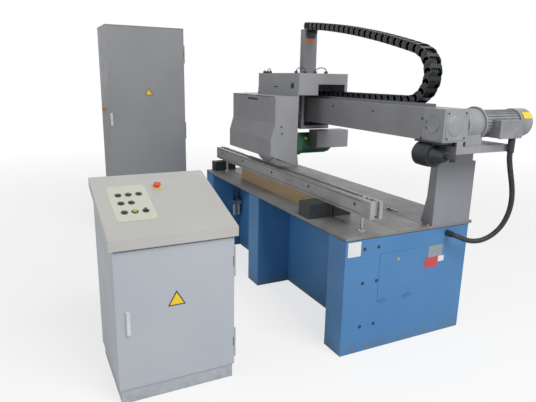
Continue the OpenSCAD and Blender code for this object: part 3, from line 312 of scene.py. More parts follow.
def clear_bowl(name, colour):
    """Polycarbonate bowl with a little water in it: pale and glossy, half see-through."""
    made, tree, shader, place = surface(name)
    tree.links.new(
        tinted(tree, patches(tree, place, 30, 0.0, 1.0), colour, "#a9b3b2"),
        shader.inputs["Base Color"],
    )
    shader.inputs["Roughness"].default_value = 0.12
    shader.inputs["IOR"].default_value = 1.58
    shader.inputs["Transmission Weight"].default_value = 0.35
    return made


def foil(name, colour, shade, rough=0.35):
    """Printed film on an aluminium plate: flat colour under a clear coat, with rubbed patches."""
    made, tree, shader, place = surface(name)
    rubbed = patches(tree, place, 18, 0.0, 1.0, detail=5)
    tree.links.new(
        tinted(tree, times(tree, rubbed, 0.6), colour, shade),
        shader.inputs["Base Color"],
    )
    shader.inputs["Roughness"].default_value = rough
    shader.inputs["Coat Weight"].default_value = 0.3
    return made


finishes = {
    "blue": powder_coat("blue_powder_coat", "#467fb2", "#3f76a9", 6, 0.3, 0.38, "#5d6f7c"),
    "table": ground_steel("oiled_table_steel", "#8d8e91", "#77736b", (0.25, 6, 6), 0.46, 0.35),
    "gantry": brushed_enamel("grey_gantry_enamel", "#8a8b90", "#83848a"),
    "beam": brushed_enamel("grey_beam_enamel", "#898a8d", "#818286"),
    "cast": cast_enamel("grey_casting_enamel", "#95969a", "#8a8b90"),
    "motor": cast_enamel("pale_motor_enamel", "#8f9195", "#7c7e82", 5, 0.6, 0.38),
    "hood": brushed_enamel("hood_side_enamel", "#9a9b9f", "#929397", rough=0.38),
    "cover": brushed_enamel("hood_cover_enamel", "#8f8e91", "#868589", rough=0.42),
    "console": powder_coat("console_powder_coat", "#b1b6bd", "#aab0b8", 3, 0.15, 0.4, "#8d9094"),
    "lid": powder_coat("console_lid_powder_coat", "#b9b8b5", "#b2b1ae", 3, 0.15, 0.4),
    "cabinet": powder_coat("cabinet_powder_coat", "#8d8f92", "#86888b", 4, 0.2, 0.45, "#717274"),
    "clamp": ground_steel("milled_clamp_steel", "#acadaf", "#918e89", (0.2, 5, 5), 0.44, 0.25),
    "rail": bright_steel("hardened_rail_steel", "#b5b6b8", 0.22, (0.1, 4, 4)),
    "steel": bright_steel("turned_steel"),
    "zinc": bright_steel("zinc_plated_steel", "#b9b6a8", 0.33),
    "blade": bright_steel("saw_blade_steel", "#a9abae", 0.3, (1, 1, 1)),
    "alloy": bright_steel("drawn_aluminium", "#c4c5c7", 0.36, (1, 1, 0.1)),
    "screw": bright_steel("blackened_screw_steel", "#3d3e40", 0.42),
    "board": sawn_board("sawn_softwood"),
    "block": moulded_plastic("black_cast_polyamide", "#1f2326", "#2a2f33", 0.46, 3, 0.15),
    "chain": moulded_plastic("black_chain_polyamide", "#1b2022", "#272d2f", 0.3),
    "cable": dull_rubber("cable_sheath", "#1f2224", "#2c2f31"),
    "rubber": dull_rubber("black_rubber", "#202425", "#34393a"),
    "hose": dull_rubber("conduit_pvc", "#23292a", "#31383a"),
    "auxiliary": cast_enamel("black_motor_enamel", "#1e2224", "#2a2e30", 5, 0.6, 0.42),
    "green": cast_enamel("green_motor_enamel", "#3f7a5b", "#35694e", 5, 0.5, 0.4),
    "bowl": clear_bowl("polycarbonate_bowl", "#c9cfcb"),
    "belt": dull_rubber("toothed_belt_rubber", "#1d1f20", "#2b2d2e"),
    "button": moulded_plastic("black_button_plastic", "#2a2c2c", "#3a3c3c", 0.35),
    "button_green": moulded_plastic("green_button_plastic", "#a8c04a", "#93ac3c", 0.25),
    "button_red": moulded_plastic("red_mushroom_plastic", "#d6503f", "#c33f33", 0.32),
    "switch": moulded_plastic("orange_switch_plastic", "#e0892b", "#cf7822", 0.35),
    "handle": moulded_plastic("pale_handle_enamel", "#d4d8d8", "#c3c8c9", 0.3),
    "cream": foil("cream_panel_foil", "#c9cab9", "#bcbeae"),
    "white": foil("white_plate_foil", "#dfe1e0", "#ccd0d1"),
    "red": foil("red_plate_foil", "#c33a40", "#ad3238"),
    "grey": foil("engraved_grey_plate", "#8c959b", "#79828a"),
    "yellow": foil("yellow_plate_foil", "#f0cc1f", "#dfba18"),
    "black": foil("black_border_foil", "#1f2022", "#2c2d2f"),
    "orange": foil("orange_plate_foil", "#d1733c", "#bd6531"),
    # Near-black finish for thin strips and slots: painted shade in gaps, grooves, slots and
    # recesses
    "gap_shade": dull_rubber("painted_gap_shade", "#2b2a28", "#393733"),
}


# Mesh parts, in millimetres


def brick(shape, x, y, z):
    """A block between two spans on each axis."""
    made = bmesh.ops.create_cube(shape, size=1.0)["verts"]
    for vert in made:
        vert.co = Vector(
            [low if value < 0 else high for value, (low, high) in zip(vert.co, (x, y, z))]
        )


def rod(shape, start, end, radius, end_radius=None, sides=28):
    """A closed round bar or cone between two points."""
    start, end = Vector(start), Vector(end)
    along = end - start
    turn = along.to_track_quat("Z", "Y").to_matrix().to_4x4()
    bmesh.ops.create_cone(
        shape,
        cap_ends=True,
        segments=sides,
        radius1=radius,
        radius2=radius if end_radius is None else end_radius,
        depth=along.length,
        matrix=Matrix.Translation((start + end) / 2) @ turn,
    )


def skinned(shape, loops):
    """Joins each loop of points to the next one with faces."""
    for first, second in zip(loops, loops[1:]):
        for i in range(len(first)):
            j = (i + 1) % len(first)
            shape.faces.new((first[i], first[j], second[j], second[i]))


def capped(shape, loops):
    """Closes a skin with a face over its first and its last loop."""
    skinned(shape, loops)
    shape.faces.new(list(reversed(loops[0])))
    shape.faces.new(loops[-1])


def turned(shape, centre, facing, profile, sides):
    """Loops of points round the facing, one for each pair of radius and level."""
    turn = Vector(facing).to_track_quat("Z", "Y").to_matrix().to_4x4()
    place = Matrix.Translation(centre) @ turn
    angles = [2 * math.pi * i / sides for i in range(sides)]
    loops = []
    for radius, level in profile:
        points = [Vector((radius * math.cos(a), radius * math.sin(a), level)) for a in angles]
        loops.append([shape.verts.new(place @ point) for point in points])
    return loops


def ring(shape, centre, facing, outer, inner, thick, sides=36):
    """A flat ring whose lower face lies on the centre."""
    profile = ((inner, 0), (outer, 0), (outer, thick), (inner, thick))
    loops = turned(shape, centre, facing, profile, sides)
    skinned(shape, loops + loops[:1])


def plate(shape, outline, thickness):
    """A flat plate: the points of its outline, and how it is thick."""
    low = [shape.verts.new(Vector(p)) for p in outline]
    high = [shape.verts.new(Vector(p) + Vector(thickness)) for p in outline]
    count = len(outline)
    shape.faces.new(list(reversed(low)))
    shape.faces.new(high)
    for i in range(count):
        j = (i + 1) % count
        shape.faces.new((low[i], low[j], high[j], high[i]))


def smooth_route(points, steps=6):
    """Points on one smooth curve through the given ones."""
    points = [Vector(p) for p in points]
    ends = [2 * points[0] - points[1]] + points + [2 * points[-1] - points[-2]]
    route = []
    for a, b, c, d in zip(ends, ends[1:], ends[2:], ends[3:]):
        for i in range(steps):
            t = i / steps
            route.append(
                0.5
                * (
                    2 * b
                    + (c - a) * t
                    + (2 * a - 5 * b + 4 * c - d) * t**2
                    + (3 * b - a - 3 * c + d) * t**3
                )
            )
    return route + [points[-1]]


def tube(shape, points, radius, sides=12, steps=6):
    """A round tube along a smooth curve through the points."""
    route = smooth_route(points, steps)
    side = Vector((0.31, 0.83, 0.47))
    loops = []
    for i, place in enumerate(route):
        along = (route[min(i + 1, len(route) - 1)] - route[max(i - 1, 0)]).normalized()
        side = (side - along * side.dot(along)).normalized()
        other = along.cross(side)
        loops.append(
            [
                shape.verts.new(
                    place
                    + radius
                    * (
                        math.cos(2 * math.pi * k / sides) * side
                        + math.sin(2 * math.pi * k / sides) * other
                    )
                )
                for k in range(sides)
            ]
        )
    capped(shape, loops)


def lathe(shape, centre, facing, profile, sides=36):
    """A turned shape: pairs of radius and level along the facing, closed at both ends."""
    capped(shape, turned(shape, centre, facing, profile, sides))


def finished(name, shape, finish, smooth=35):
    """Turns a mesh in millimetres into an object in metres with its finish."""
    bmesh.ops.scale(shape, vec=(MM, MM, MM), verts=shape.verts)
    bmesh.ops.recalc_face_normals(shape, faces=shape.faces)
    mesh = bpy.data.meshes.new(name)
    shape.to_mesh(mesh)
    shape.free()
    for face in mesh.polygons:
        face.use_smooth = True
    mesh.set_sharp_from_angle(angle=math.radians(smooth))
    mesh.materials.append(finishes[finish])
    made = bpy.data.objects.new(name, mesh)
    bpy.context.collection.objects.link(made)
    return made


def piece(name, body, finish, parts, edge=0.0, smooth=35):
    """Joins mesh parts into one piece that rides on a body. edge is the radius of its edges."""
    shape = bmesh.new()
    for part, *values in parts:
        part(shape, *values)
    made = finished(name, shape, finish, smooth)
    if edge:
        bevel = made.modifiers.new("edge", "BEVEL")
        bevel.width = edge * MM
        bevel.segments = 2
        bevel.limit_method = "ANGLE"
        bevel.angle_limit = math.radians(40)
    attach(made, body)
    return made


# What repeats, with Geometry Nodes


def sized_tree(name, sizes):
    """A Geometry Nodes tree with a named input for each size, and its input node."""
    tree = bpy.data.node_groups.new(name, "GeometryNodeTree")
    tree.interface.new_socket("Geometry", in_out="INPUT", socket_type="NodeSocketGeometry")
    for size, kind in sizes.items():
        tree.interface.new_socket(size, in_out="INPUT", socket_type=kind)
    tree.interface.new_socket("Material", in_out="INPUT", socket_type="NodeSocketMaterial")
    tree.interface.new_socket("Geometry", in_out="OUTPUT", socket_type="NodeSocketGeometry")
    return tree, node(tree, "NodeGroupInput")


def close_tree(tree, given, shape):
    """Ends a tree in Realize Instances and Set Material."""
    real = node(tree, "GeometryNodeRealizeInstances", {0: shape})
    painted = node(
        tree,
        "GeometryNodeSetMaterial",
        {"Geometry": real.outputs[0], "Material": given.outputs["Material"]},
    )
    node(tree, "NodeGroupOutput", {0: painted.outputs[0]})
    return tree


def repeated(source, tree, body, finish, sizes, smooth=35):
    """Runs a tree on a source piece, and keeps the result as a plain mesh on the body."""
    inputs = {
        s.name: s.identifier
        for s in tree.interface.items_tree
        if s.item_type == "SOCKET" and s.in_out == "INPUT"
    }
    step = source.modifiers.new("repeat", "NODES")
    step.node_group = tree
    for size, value in dict(sizes, Material=finishes[finish]).items():
        step[inputs[size]] = value
    bpy.context.view_layer.update()
    seen = bpy.context.evaluated_depsgraph_get()
    mesh = bpy.data.meshes.new_from_object(source.evaluated_get(seen))
    source.modifiers.remove(step)
    source.data = mesh
    mesh.name = source.name
    for face in mesh.polygons:
        face.use_smooth = True
    mesh.set_sharp_from_angle(angle=math.radians(smooth))
    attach(source, body)
    return source


LENGTH, NUMBER, WHOLE = "NodeSocketFloat", "NodeSocketFloat", "NodeSocketInt"


def screw_tree():
    """A socket screw on each point, turned to the point's facing: a collar, a head and a hex."""
    tree, given = sized_tree("socket_screws", {"Head radius": LENGTH, "Head height": LENGTH})
    radius, tall = given.outputs["Head radius"], given.outputs["Head height"]
    head = node(
        tree,
        "GeometryNodeMeshCone",
        {
            "Vertices": 20,
            "Radius Bottom": radius,
            "Radius Top": times(tree, radius, 0.86),
            "Depth": tall,
        },
    )
    collar = node(
        tree,
        "GeometryNodeMeshCylinder",
        {"Vertices": 24, "Radius": times(tree, radius, 1.3), "Depth": times(tree, tall, 0.3)},
    )
    low_collar = node(
        tree,
        "GeometryNodeTransform",
        {
            "Geometry": collar.outputs[0],
            "Translation": node(
                tree, "ShaderNodeCombineXYZ", {2: times(tree, tall, 0.15)}
            ).outputs[0],
        },
    )
    socket = node(
        tree,
        "GeometryNodeMeshCylinder",
        {"Vertices": 6, "Radius": times(tree, radius, 0.5), "Depth": times(tree, tall, 0.12)},
    )
    high_socket = node(
        tree,
        "GeometryNodeTransform",
        {
            "Geometry": socket.outputs[0],
            "Translation": node(
                tree, "ShaderNodeCombineXYZ", {2: times(tree, tall, 1.02)}
            ).outputs[0],
        },
    )
    screw = node(tree, "GeometryNodeJoinGeometry")
    for part in (head, low_collar, high_socket):
        tree.links.new(part.outputs[0], screw.inputs[0])
    facing = node(
        tree, "GeometryNodeInputNamedAttribute", {"Name": "facing"}, data_type="FLOAT_VECTOR"
    )
    turn = node(tree, "FunctionNodeAlignEulerToVector", {"Vector": facing.outputs[0]}, axis="Z")
    spread = node(
        tree,
        "GeometryNodeInstanceOnPoints",
        {
            "Points": given.outputs["Geometry"],
            "Instance": screw.outputs[0],
            "Rotation": turn.outputs[0],
        },
    )
    return close_tree(tree, given, spread.outputs[0])


def screws(name, body, finish, spots, radius, tall=None):
    """Screws at places with the way that they face."""
    mesh = bpy.data.meshes.new(name)
    mesh.from_pydata([[v * MM for v in place] for place, _ in spots], [], [])
    facing = mesh.attributes.new("facing", "FLOAT_VECTOR", "POINT")
    for i, (_, way) in enumerate(spots):
        facing.data[i].vector = way
    made = bpy.data.objects.new(name, mesh)
    bpy.context.collection.objects.link(made)
    tall = tall or radius * 0.6
    return repeated(
        made,
        set_screws,
        body,
        finish,
        {"Head radius": radius * MM, "Head height": tall * MM},
    )


def chain_tree():
    """Sets copies of one link end to end. Each link turns by the same angle from the one before."""
    tree, given = sized_tree(
        "energy_chain",
        {
            "Links": WHOLE,
            "Pitch": LENGTH,
            "First angle": NUMBER,
            "Turn per link": NUMBER,
            "Start": "NodeSocketVector",
        },
    )
    line = node(tree, "GeometryNodeMeshLine", {"Count": given.outputs["Links"]}, mode="OFFSET")
    index = node(tree, "GeometryNodeInputIndex").outputs[0]
    centred = node(tree, "ShaderNodeMath", {0: index, 1: 0.5}, operation="ADD")
    angle = node(
        tree,
        "ShaderNodeMath",
        {
            0: centred.outputs[0],
            1: given.outputs["Turn per link"],
            2: given.outputs["First angle"],
        },
        operation="MULTIPLY_ADD",
    ).outputs[0]
    across = node(tree, "ShaderNodeMath", {0: angle}, operation="COSINE").outputs[0]
    rise = node(tree, "ShaderNodeMath", {0: angle}, operation="SINE").outputs[0]
    pitch = given.outputs["Pitch"]
    step = node(
        tree,
        "ShaderNodeCombineXYZ",
        {0: times(tree, across, pitch), 2: times(tree, rise, pitch)},
    )
    walk = node(
        tree,
        "GeometryNodeAccumulateField",
        {0: step.outputs[0]},
        data_type="FLOAT_VECTOR",
        domain="POINT",
    )
    place = node(
        tree,
        "ShaderNodeVectorMath",
        {0: walk.outputs["Trailing"], 1: given.outputs["Start"]},
        operation="ADD",
    )
    laid = node(
        tree,
        "GeometryNodeSetPosition",
        {"Geometry": line.outputs[0], "Position": place.outputs[0]},
    )
    back = times(tree, angle, -1.0)
    spread = node(
        tree,
        "GeometryNodeInstanceOnPoints",
        {
            "Points": laid.outputs[0],
            "Instance": given.outputs["Geometry"],
            "Rotation": node(tree, "ShaderNodeCombineXYZ", {1: back}).outputs[0],
        },
    )
    return close_tree(tree, given, spread.outputs[0])


def ribbed_tree():
    """A tube along a line with a low rib at each pitch, as on corrugated conduit."""
    tree, given = sized_tree(
        "corrugated_conduit", {"Radius": LENGTH, "Rib pitch": LENGTH, "Rib length": LENGTH}
    )
    curve = node(tree, "GeometryNodeMeshToCurve", {0: given.outputs["Geometry"]})
    core = node(
        tree,
        "GeometryNodeCurvePrimitiveCircle",
        {"Resolution": 20, "Radius": times(tree, given.outputs["Radius"], 0.94)},
        mode="RADIUS",
    )
    wall = node(
        tree,
        "GeometryNodeCurveToMesh",
        {"Curve": curve.outputs[0], "Profile Curve": core.outputs[0], "Fill Caps": True},
    )
    stations = node(
        tree,
        "GeometryNodeCurveToPoints",
        {"Curve": curve.outputs[0], "Length": given.outputs["Rib pitch"]},
        mode="LENGTH",
    )
    rib = node(
        tree,
        "GeometryNodeMeshCylinder",
        {
            "Vertices": 20,
            "Radius": given.outputs["Radius"],
            "Depth": given.outputs["Rib length"],
        },
    )
    ribs = node(
        tree,
        "GeometryNodeInstanceOnPoints",
        {
            "Points": stations.outputs["Points"],
            "Instance": rib.outputs[0],
            "Rotation": stations.outputs["Rotation"],
        },
    )
    whole = node(tree, "GeometryNodeJoinGeometry")
    for part in (wall, ribs):
        tree.links.new(part.outputs[0], whole.inputs[0])
    return close_tree(tree, given, whole.outputs[0])


def grille_tree():
    """Slots set round a circle in the XZ plane, each pointing at its centre."""
    tree, given = sized_tree(
        "cooling_slots",
        {"Slots": WHOLE, "Ring radius": LENGTH, "Slot length": LENGTH, "Slot width": LENGTH},
    )
    circle = node(
        tree,
        "GeometryNodeMeshCircle",
        {"Vertices": given.outputs["Slots"], "Radius": given.outputs["Ring radius"]},
    )
    slot = node(
        tree,
        "GeometryNodeMeshCube",
        {
            "Size": node(
                tree,
                "ShaderNodeCombineXYZ",
                {0: given.outputs["Slot length"], 1: given.outputs["Slot width"], 2: 0.0015},
            ).outputs[0]
        },
    )
    outward = node(
        tree,
        "FunctionNodeAlignEulerToVector",
        {"Vector": node(tree, "GeometryNodeInputPosition").outputs[0]},
        axis="X",
    )
    spread = node(
        tree,
        "GeometryNodeInstanceOnPoints",
        {
            "Points": circle.outputs[0],
            "Instance": slot.outputs[0],
            "Rotation": outward.outputs[0],
        },
    )
    stood = node(
        tree,
        "GeometryNodeTransform",
        {"Geometry": spread.outputs[0], "Rotation": (math.pi / 2, 0, 0)},
    )
    return close_tree(tree, given, stood.outputs[0])


set_screws = screw_tree()
energy_chain = chain_tree()
corrugated_conduit = ribbed_tree()
cooling_slots = grille_tree()


# The motor's hose

HOSE_ROUTE = [
    (1478, 548, 1325),
    (1478, 548, 1275),
    (1478, 562, 1220),
    (1478, 584, 1155),
    (1476, 610, 1085),
    (1472, 630, 1015),
    (1464, 640, 940),
    (1452, 634, 865),
    (1436, 608, 795),
    (1414, 562, 738),
    (1388, 502, 702),
    (1364, 442, 694),
    (1349, 396, 704),
    (1336, 357, 720),
    (1319, 326, 733),
    (1298, 320, 735),
    (1275, 320, 735),
]
HOSE_RADIUS = 17


def hang_hose():
    """The conduit from the terminal box down to the base's end face."""
    route = [p * MM for p in smooth_route(HOSE_ROUTE, 5)]
    mesh = bpy.data.meshes.new("motor_conduit")
    mesh.from_pydata(route, [(i, i + 1) for i in range(len(route) - 1)], [])
    hose = bpy.data.objects.new("motor_conduit", mesh)
    bpy.context.collection.objects.link(hose)
    repeated(
        hose,
        corrugated_conduit,
        "base",
        "hose",
        {"Radius": HOSE_RADIUS * MM, "Rib pitch": 9 * MM, "Rib length": 4.5 * MM},
    )
    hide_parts("motor_hose")


# The energy chain

CHAIN_PITCH, CHAIN_TALL, CHAIN_LOW, CHAIN_NEAR, CHAIN_WIDE = 68, 58, 1611, 85, 100
BEND_X, LOWER_LINKS, BEND_LINKS, UPPER_LINKS = 1004, 16, 7, 21
BEND_TURN, UPPER_TURN = math.radians(165), math.radians(10)


def chain_link(name):
    """One link: overlapping side plates with pin bosses, and a rounded bar above and below."""
    r, t, gap = CHAIN_TALL / 2, 4, 0.3
    middle = CHAIN_PITCH / 2
    far = CHAIN_NEAR + CHAIN_WIDE
    shape = bmesh.new()
    for outer, way in ((CHAIN_NEAR, 1), (far, -1)):
        inner = outer + way * (t + gap)
        for x, start in ((0, outer), (CHAIN_PITCH, inner)):
            rod(shape, (x, start, 0), (x, start + way * t, 0), r, sides=24)
        brick(shape, (0, CHAIN_PITCH - r - gap), sorted((outer, outer + way * t)), (-r, r))
        brick(shape, (r + gap, CHAIN_PITCH), sorted((inner, inner + way * t)), (-r, r))
        rod(shape, (0, outer, 0), (0, outer - way * 1.5, 0), 8, 7, sides=16)
        rod(shape, (middle, outer, 0), (middle, outer - way * 1.2, 0), 5, 4, sides=12)
    for side in (-1, 1):
        level = side * (r - 5.5)
        across = (CHAIN_NEAR + t, far - t)
        brick(shape, (middle - 13, middle + 13), across, (level - 3, level + 3))
        for y in (CHAIN_NEAR + 14, far - 14):
            clip = (level - 4.2, level + 4.2)
            brick(shape, (middle - 16, middle + 16), (y - 7, y + 7), clip)
    return finished(name, shape, "chain")


def chain_cables(name):
    """The cables of one pitch, lying side by side between the bars."""
    shape = bmesh.new()
    for inset, radius in ((22, 9), (42, 7), (60, 8), (78, 6)):
        y = CHAIN_NEAR + inset
        rod(shape, (-2, y, -5), (CHAIN_PITCH + 2, y, -5), radius, sides=12)
    return finished(name, shape, "cable")


def lay_chain():
    """The lower run on the beam, the bend, and the upper run back to the mast."""
    bend_step = BEND_TURN / BEND_LINKS
    radius = CHAIN_PITCH / (2 * math.sin(bend_step / 2))
    upper_start = (
        BEND_X + radius * math.sin(BEND_TURN),
        CHAIN_LOW + radius - radius * math.cos(BEND_TURN),
    )
    runs = {
        "lower": ("base", LOWER_LINKS, 0.0, 0.0, (BEND_X - LOWER_LINKS * CHAIN_PITCH, CHAIN_LOW)),
        "bend": ("chain_bend", BEND_LINKS, 0.0, bend_step, (BEND_X, CHAIN_LOW)),
        "upper": ("carriage", UPPER_LINKS, BEND_TURN, UPPER_TURN / UPPER_LINKS, upper_start),
    }
    for run, (body, links, first, turn, (x, z)) in runs.items():
        sizes = {
            "Links": links,
            "Pitch": CHAIN_PITCH * MM,
            "First angle": first,
            "Turn per link": turn,
            "Start": (x * MM, 0.0, z * MM),
        }
        links_piece = repeated(
            chain_link(f"chain_links_{run}"), energy_chain, body, "chain", sizes
        )
        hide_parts(f"chain_{run}")
        repeated(chain_cables(f"chain_cables_{run}"), energy_chain, body, "cable", sizes)


# Finishes of the CAD nodes

NODE_FINISHES = {
    "blue": "base_cabinet base_pedestals access_door",
    "table": "table_plate",
    "board": "support_board",
    "block": "end_block",
    "gantry": "uprights beam_brackets chain_mast carriage_frame carriage_rear_plate",
    "beam": "gantry_beam",
    "cast": "end_heads motor_tray gearbox saw_side_box",
    "motor": "drive_motor",
    "rail": "guide_rails clamp_rods",
    "belt": "drive_belt",
    "rubber": "hose_glands regulator_knob",
    "auxiliary": "auxiliary_motor",
    "alloy": "air_service_unit clamp_cylinders plunge_cylinder",
    "hood": "saw_hood carriage_box",
    "cover": "hood_cover",
    "clamp": "clamp_beam",
    "green": "saw_motor belt_case",
    "steel": "saw_slide spindle_housing saw_spindle drive_pulley idler_pulley",
    "blade": "saw_blade",
    "console": "console_body console_door",
    "lid": "console_lid",
    "cabinet": "cabinet_body cabinet_door",
    "handle": "console_handle cabinet_handle",
    "zinc": "access_lock",
    "button": "button_1 button_2 button_3 button_4 button_5 button_6 selector_switch",
    "button_green": "button_7",
    "button_red": "emergency_stop",
    "switch": "main_switch",
}


def finish_nodes():
    """Gives each CAD node its finish."""
    for finish, names in NODE_FINISHES.items():
        for name in names.split():
            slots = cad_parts[name].data.materials
            slots.clear()
            slots.append(finishes[finish])


# The base and the table

NEAR_X, FRONT_Y, REAR_Y, TABLE_Z, BOARD_TOP_Z = 1250, -515, 515, 800, 905


def dress_base():
    """Screws and bare plates on the end face, a painted shadow line under the table's rim, and
    painted shade in the table's seam and at its step.
    """
    spots = [((NEAR_X, y, z), (1, 0, 0)) for y in (-370, -260) for z in (713, 484, 182)]
    screws("end_face_screws", "base", "screw", spots, 9, 4)
    plates = (
        ("end_face_white_plates", "white", (((-498, -400), (672, 768)), ((259, 312), (537, 577)))),
        ("end_face_grey_plate", "grey", (((165, 293), (577, 660)),)),
        ("end_face_red_plate", "red", (((141, 257), (504, 577)),)),
    )
    for name, finish, spans in plates:
        sheets = [(brick, (NEAR_X, NEAR_X + 1.5), y, z) for y, z in spans]
        piece(name, "base", finish, sheets, 0.4)
    # A dark strip along the table's front and end faces, under the rim: a painted shadow line
    piece(
        "table_edge_shadow_line",
        "base",
        "gap_shade",
        [
            (brick, (-NEAR_X, NEAR_X), (FRONT_Y - 0.8, FRONT_Y + 1), (776, 780)),
            (brick, (NEAR_X - 1, NEAR_X + 0.8), (FRONT_Y, REAR_Y), (776, 780)),
        ],
    )
    # Dark lines on the table top: painted shade in the seam, and a painted shadow at the step to
    # the rear plate
    piece(
        "table_joint_shade",
        "base",
        "gap_shade",
        [
            (brick, (880, NEAR_X), (-112, -109), (TABLE_Z - 1, TABLE_Z + 0.4)),
            (brick, (-NEAR_X, NEAR_X), (150, 156), (TABLE_Z - 1, TABLE_Z + 0.4)),
        ],
    )


LID_SLOPE, LID_FRONT_X, LID_FRONT_Z = math.radians(18.2161), 1179, 940
CONSOLE_DOOR_X = 1161


def lid_place(u, y, rise=0.0):
    """A place on the console's sloping lid: u up the slope, and that far above it."""
    return (
        LID_FRONT_X - u * math.cos(LID_SLOPE) + rise * math.sin(LID_SLOPE),
        y,
        LID_FRONT_Z + u * math.sin(LID_SLOPE) + rise * math.cos(LID_SLOPE),
    )


LID_FACING = (math.sin(LID_SLOPE), 0, math.cos(LID_SLOPE))
BUTTONS = [
    (427, -1764),
    (427, -1707),
    (427, -1648),
    (340, -1764),
    (340, -1707),
    (246, -1764),
    (246, -1707),
]
SELECTOR, STOP = (246, -1648), (491, -1525)


def triangle(name, body, x, y, z, side):
    """A blank yellow triangle with a black border on a face that looks along +X."""
    tall = side * 0.87
    layers = (("border", "black", 1.0, 0.0), ("field", "yellow", 0.78, 0.6))
    for part, finish, share, lift in layers:
        low = z + tall / 3 * (1 - share)
        outline = [
            (x + lift, y - side / 2 * share, low),
            (x + lift, y + side / 2 * share, low),
            (x + lift, y, low + tall * share),
        ]
        piece(f"{name}_{part}", body, finish, [(plate, outline, (0.6, 0, 0))])


def dress_console():
    """The cream panel with black bezels, the yellow disc, and the blank triangle on the door."""
    lift = [0.8 * v for v in LID_FACING]
    corners = ((160, -1818), (531, -1818), (531, -1596), (160, -1596))
    panel = [lid_place(u, y, 1.0) for u, y in reversed(corners)]
    piece("button_panel_foil", "console_lid", "cream", [(plate, panel, lift)])
    rings = [
        (ring, lid_place(u, y, 1.2), LID_FACING, 19.0, 11.3, 3.6)
        for u, y in BUTTONS + [SELECTOR]
    ]
    piece("button_bezels", "console_lid", "button", rings, 0.8)
    disc = [(ring, lid_place(*STOP, 2.2), LID_FACING, 30.4, 21.5, 1.4)]
    piece("stop_disc", "console_lid", "yellow", disc, 0.4)
    spots = [(lid_place(u, y, 1.8), LID_FACING) for u in (170, 521) for y in (-1810, -1604)]
    screws("panel_screws", "console_lid", "zinc", spots, 3.2, 1.6)
    dish = [(11, -0.2), (10.4, 1.0), (8, 1.4), (0.5, 0.9)]
    for i, (u, y) in enumerate(BUTTONS, 1):
        cap = [(lathe, lid_place(u, y, 8.0), LID_FACING, dish)]
        colour = "button_green" if i == len(BUTTONS) else "button"
        piece(f"button_cap_{i}", f"button_{i}", colour, cap)
    triangle("console_triangle", "console_door", CONSOLE_DOOR_X, -1549, 530, 100)
    # A dark line under the lid's front lip: a painted shadow gap
    piece(
        "console_lip_shadow",
        "base",
        "gap_shade",
        [(brick, (CONSOLE_DOOR_X - 0.4, CONSOLE_DOOR_X + 0.6), (-1868, -1217), (872, 875))],
    )


def dress_cabinet():
    """The blank triangle on the door, the roof, and the yellow plate behind the switch."""
    triangle("cabinet_triangle", "cabinet_door", -1740, -974, 1540, 84)
    piece(
        "cabinet_roof",
        "base",
        "cabinet",
        [(brick, (-2242, -1738), (-1387, -583), (2218, 2226))],
        2,
    )
    piece(
        "cabinet_switch_plate",
        "base",
        "yellow",
        [(brick, (-2060, -2006), (-1389.2, -1388), (1350, 1404))],
        0.4,
    )


MOTOR_X, MOTOR_Z, COWL_RADIUS, COWL_END_Y, BEAM_FRONT_Y = 1365, 1482.5, 93.5, 755, -15


def dress_gantry():
    """Screws, the motor's terminal lid, plate and grille, the feet, and the head's cover."""
    places = ((288, 1534), (787, 1528), (1270, 1514), (1311, 1496), (1311, 1463), (1273, 1395))
    spots = [((x, BEAM_FRONT_Y, z), (0, -1, 0)) for x, z in places]
    screws("beam_screws", "base", "screw", spots, 7, 3)
    piece(
        "terminal_box_lid",
        "base",
        "motor",
        [(brick, (1500, 1512), (392, 594), (1399, 1514))],
        4,
    )
    spots = [((1512, y, z), (1, 0, 0)) for y in (404, 582) for z in (1411, 1502)]
    screws("terminal_lid_screws", "base", "zinc", spots, 4.5, 3)
    turns = [0.35 + 0.05 * i for i in range(11)]
    strips = []
    for a, b in zip(turns, turns[1:]):
        edge = [
            (MOTOR_X + COWL_RADIUS * math.cos(t), y, MOTOR_Z + COWL_RADIUS * math.sin(t))
            for t, y in ((a, 672), (a, 748), (b, 748), (b, 672))
        ]
        strips.append((plate, edge, (0.8 * math.cos(a), 0, 0.8 * math.sin(a))))
    piece("cowl_plate", "base", "yellow", strips)
    # The cowl's slots are dark strips: painted shade standing in for the openings
    for slots, radius, long in ((10, 26, 12), (16, 46, 13), (22, 67, 14)):
        name = f"cowl_grille_{slots}"
        grille = bpy.data.objects.new(name, bpy.data.meshes.new(name))
        bpy.context.collection.objects.link(grille)
        sizes = {
            "Slots": slots,
            "Ring radius": radius * MM,
            "Slot length": long * MM,
            "Slot width": 5 * MM,
        }
        repeated(grille, cooling_slots, "base", "gap_shade", sizes)
        grille.data.transform(Matrix.Translation((MOTOR_X * MM, COWL_END_Y * MM, MOTOR_Z * MM)))
    feet = [((x, 160, TABLE_Z), (0, 0, 1)) for x in (1165, 1228)]
    screws("foot_screws", "base", "zinc", feet, 9, 8)
    piece(
        "head_cover",
        "base",
        "cast",
        [
            (lathe, (1450, 70, 1482), (1, 0, 0), [(62, -2), (62, 5), (54, 9), (20, 10)]),
            (brick, (1446, 1454), (0, 165), (1396, 1568)),
        ],
        3,
    )
    spots = [((1454, y, z), (1, 0, 0)) for y in (12, 153) for z in (1408, 1556)]
    screws("head_cover_screws", "base", "screw", spots, 5, 3)


